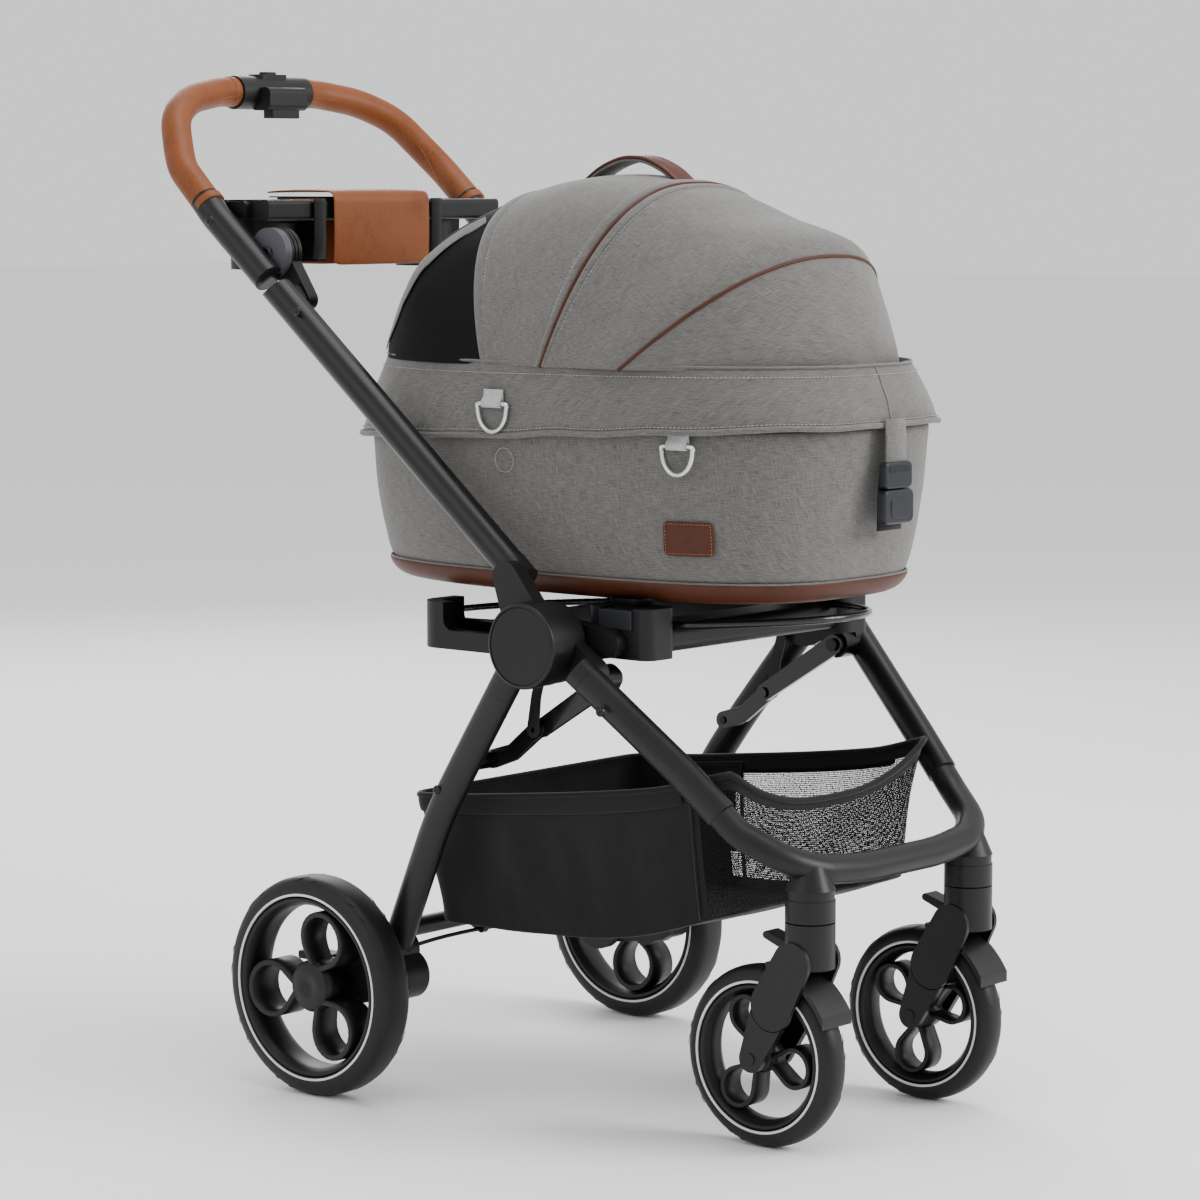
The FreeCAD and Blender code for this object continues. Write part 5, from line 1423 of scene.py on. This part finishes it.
def rounded_slab(name, x0, x1, y0, y1, z0, z1, r, finish, body, edge=1.5):
    """A moulded block with rounded corners, seen from the front."""
    points, faces = [], []
    corners = ((x1 - r, z1 - r, 0), (x0 + r, z1 - r, 90), (x0 + r, z0 + r, 180),
               (x1 - r, z0 + r, 270))
    outline = []
    for cx, cz, start in corners:
        for k in range(6):
            a = math.radians(start + 90 * k / 5)
            outline.append((cx + r * math.cos(a), cz + r * math.sin(a)))
    n = len(outline)
    for y in (y0, y1):
        points += [Vector((x, y, z)) for x, z in outline]
    for k in range(n):
        m = (k + 1) % n
        faces.append((k, m, n + m, n + k))
    faces.append(tuple(range(n - 1, -1, -1)))
    faces.append(tuple(n + k for k in range(n)))
    obj = build(name, points, faces, finish, body)
    return softened(obj, edge, 3, 50)


def build_buckle():
    """Side-release buckle on its webbing, below the front hem."""
    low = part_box("front_buckle")[0]
    y0 = (low.y - AXLE_Y) / MM
    socket = rounded_slab("buckle_socket", -25, 25, y0 + 0.5, y0 + 12, 625, 660, 7, "Acetal",
                          "pod", 2.6)
    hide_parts("front_buckle")
    rounded_slab("buckle_plug", -23, 23, y0 + 1.2, y0 + 11, 660.6, 688, 6, "Acetal", "pod",
                 2.2)
    rounded_slab("buckle_slot", -17, 17, y0 + 0.6, y0 + 3.0, 677, 684, 2.5, "Nylon", "pod",
                 0.5)
    rounded_slab("buckle_press", -15, 15, y0 - 0.4, y0 + 2.0, 631, 652, 6, "Acetal", "pod",
                 0.9)
    hang = [(0, y0 + 8, 731), (0, y0 + 6.6, 722), (0, y0 + 6, 705), (0, y0 + 6, 684)]
    bar_piece("buckle_strap", smooth_path(hang, 4), [(b, a) for a, b in flat_section(34, 2.0)],
              "Linen", "pod", Vector((1, 0, 0)))
    tail = [(0, y0 + 11, 682), (0, y0 + 13, 655), (0, y0 + 14, 618)]
    bar_piece("buckle_anchor", smooth_path(tail, 4), [(b, a) for a, b in flat_section(40, 2.4)],
              "Oxford", "pod", Vector((1, 0, 0)))


# ---- stage --------------------------------------------------------------------------
CAMERA = (-3223.0, -2898.9, 973.0)
LOOK_AZIMUTH, LOOK_DOWN, LENS = 49.73, 6.12, 118.2


def build_stage():
    scene = bpy.context.scene
    bpy.ops.mesh.primitive_plane_add(size=60)
    ground = bpy.context.object
    ground.name = "floor"
    ground.data.materials.append(material("Floor"))
    camera = bpy.data.objects.new("camera", bpy.data.cameras.new("camera"))
    scene.collection.objects.link(camera)
    camera.location = at(CAMERA)
    turn, down = math.radians(LOOK_AZIMUTH), math.radians(LOOK_DOWN)
    ahead = Vector((math.sin(turn) * math.cos(down), math.cos(turn) * math.cos(down),
                    -math.sin(down)))
    camera.rotation_mode = "QUATERNION"
    camera.rotation_quaternion = ahead.to_track_quat("-Z", "Y")
    camera.data.lens = LENS
    camera.data.sensor_width = 36.0
    scene.camera = camera
    world = bpy.data.worlds.new("studio")
    scene.world = world
    world.use_nodes = True
    world.node_tree.nodes["Background"].inputs["Color"].default_value = linear("#f7f8fa")
    world.node_tree.nodes["Background"].inputs["Strength"].default_value = 1.1
    middle = Vector((0, 0, 0.55))
    for name, place, size, power in (
            ("key", (1.6, -3.6, 2.4), 2.2, 150.0), ("top", (0.3, -0.4, 3.8), 2.6, 70.0),
            ("side", (-3.4, 0.6, 2.0), 2.6, 22.0), ("back", (2.2, 3.0, 2.4), 2.4, 70.0)):
        lamp = bpy.data.lights.new(name, "AREA")
        lamp.shape = "DISK"
        lamp.size = size
        lamp.energy = power * chosen("stage").lamps
        obj = bpy.data.objects.new(name, lamp)
        obj.location = place
        obj.rotation_mode = "QUATERNION"
        obj.rotation_quaternion = (middle - Vector(place)).to_track_quat("-Z", "Y")
        scene.collection.objects.link(obj)


# ---- settings -----------------------------------------------------------------------
class STROLLER_PG_pod(bpy.types.PropertyGroup):
    hem_flare: bpy.props.FloatProperty(
        name="Hem flare", description="How far the skirt's hem stands out of the tub",
        default=0.008, min=0.0, max=0.015, unit="LENGTH", subtype="DISTANCE")
    middle_hoop: bpy.props.FloatProperty(
        name="Middle hoop", description="Angle of the middle hoop from the rear",
        default=math.radians(106), min=math.radians(95), max=math.radians(115),
        subtype="ANGLE")
    mattress_swell: bpy.props.FloatProperty(
        name="Mattress swell", description="Most that the wadding lifts the mattress cover",
        default=0.007, min=0.0, max=0.012, unit="LENGTH", subtype="DISTANCE")


class STROLLER_PG_basket(bpy.types.PropertyGroup):
    front_dip: bpy.props.FloatProperty(
        name="Front dip", description="How far the front rim sags in its middle",
        default=0.042, min=0.0, max=0.07, unit="LENGTH", subtype="DISTANCE")
    fold_depth: bpy.props.FloatProperty(
        name="Fold depth", description="Height of the soft folds in the sides",
        default=0.005, min=0.0, max=0.01, unit="LENGTH", subtype="DISTANCE")


class STROLLER_PG_wheels(bpy.types.PropertyGroup):
    loops: bpy.props.IntProperty(
        name="Spoke loops", description="Looped spokes in each wheel", default=3, min=3, max=5)
    rear_wall: bpy.props.FloatProperty(
        name="Rear loop wall", description="Wall of a rear wheel's looped spoke",
        default=0.006, min=0.003, max=0.008, unit="LENGTH", subtype="DISTANCE")


class STROLLER_PG_stage(bpy.types.PropertyGroup):
    lamps: bpy.props.FloatProperty(
        name="Lamps", description="Strength of the studio lamps", default=1.0, min=0.0,
        max=3.0, subtype="FACTOR")


GROUPS = (STROLLER_PG_pod, STROLLER_PG_basket, STROLLER_PG_wheels, STROLLER_PG_stage)


def chosen(group):
    """The settings of one group, such as pod or basket."""
    return getattr(bpy.context.scene, "stroller_" + group)


# ---- operators ----------------------------------------------------------------------
class BuildStep:
    bl_options = {"REGISTER", "UNDO"}
    steps = ()

    def execute(self, context):
        for step in self.steps:
            step()
        return {"FINISHED"}


class STROLLER_OT_frame(BuildStep, bpy.types.Operator):
    """Finish the tubes, castings, links and their screws"""
    bl_idname = "stroller.frame"
    bl_label = "Frame"
    steps = (finish_frame, add_screws)


class STROLLER_OT_wheels(BuildStep, bpy.types.Operator):
    """Build the four wheels"""
    bl_idname = "stroller.wheels"
    bl_label = "Wheels"
    steps = (build_wheels,)


class STROLLER_OT_handle(BuildStep, bpy.types.Operator):
    """Build the leather grips and the organiser"""
    bl_idname = "stroller.handle"
    bl_label = "Handle and organiser"
    steps = (build_handle, build_console)


class STROLLER_OT_basket(BuildStep, bpy.types.Operator):
    """Build the shopping basket"""
    bl_idname = "stroller.basket"
    bl_label = "Basket"
    steps = (build_basket,)


class STROLLER_OT_tub(BuildStep, bpy.types.Operator):
    """Build the pod's tub, base, mattress and skirt"""
    bl_idname = "stroller.tub"
    bl_label = "Tub and skirt"
    steps = (build_tub, build_skirt)


class STROLLER_OT_canopy(BuildStep, bpy.types.Operator):
    """Build the canopy"""
    bl_idname = "stroller.canopy"
    bl_label = "Canopy"
    steps = (build_canopy,)


class STROLLER_OT_fittings(BuildStep, bpy.types.Operator):
    """Build the carrying strap, leash rings, patch and buckle"""
    bl_idname = "stroller.fittings"
    bl_label = "Pod fittings"
    steps = (build_carry_strap, build_d_rings, build_patch, build_buckle)


class STROLLER_OT_stage(BuildStep, bpy.types.Operator):
    """Add the floor, lights and camera"""
    bl_idname = "stroller.stage"
    bl_label = "Stage"
    steps = (build_stage,)


OPERATORS = (STROLLER_OT_stage, STROLLER_OT_frame, STROLLER_OT_wheels, STROLLER_OT_handle,
             STROLLER_OT_basket, STROLLER_OT_tub, STROLLER_OT_canopy, STROLLER_OT_fittings)


class STROLLER_PT_panel(bpy.types.Panel):
    bl_label = "Stroller"
    bl_space_type = "VIEW_3D"
    bl_region_type = "UI"
    bl_category = "Stroller"

    def draw(self, context):
        for group in ("pod", "basket", "wheels", "stage"):
            settings = chosen(group)
            for name in settings.bl_rna.properties.keys():
                if name not in ("rna_type", "name"):
                    self.layout.prop(settings, name)
        for kind in OPERATORS:
            self.layout.operator(kind.bl_idname)


def register():
    for kind in (*GROUPS, *OPERATORS, STROLLER_PT_panel):
        bpy.utils.register_class(kind)
    for kind in GROUPS:
        setattr(bpy.types.Scene, kind.__name__.replace("STROLLER_PG_", "stroller_"),
                bpy.props.PointerProperty(type=kind))


def unregister():
    for kind in GROUPS:
        delattr(bpy.types.Scene, kind.__name__.replace("STROLLER_PG_", "stroller_"))
    for kind in reversed((*GROUPS, *OPERATORS, STROLLER_PT_panel)):
        bpy.utils.unregister_class(kind)


def main():
    register()
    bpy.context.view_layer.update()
    for kind in OPERATORS:
        group, action = kind.bl_idname.split(".")
        getattr(getattr(bpy.ops, group), action)()


if __name__ == "__main__":
    main()
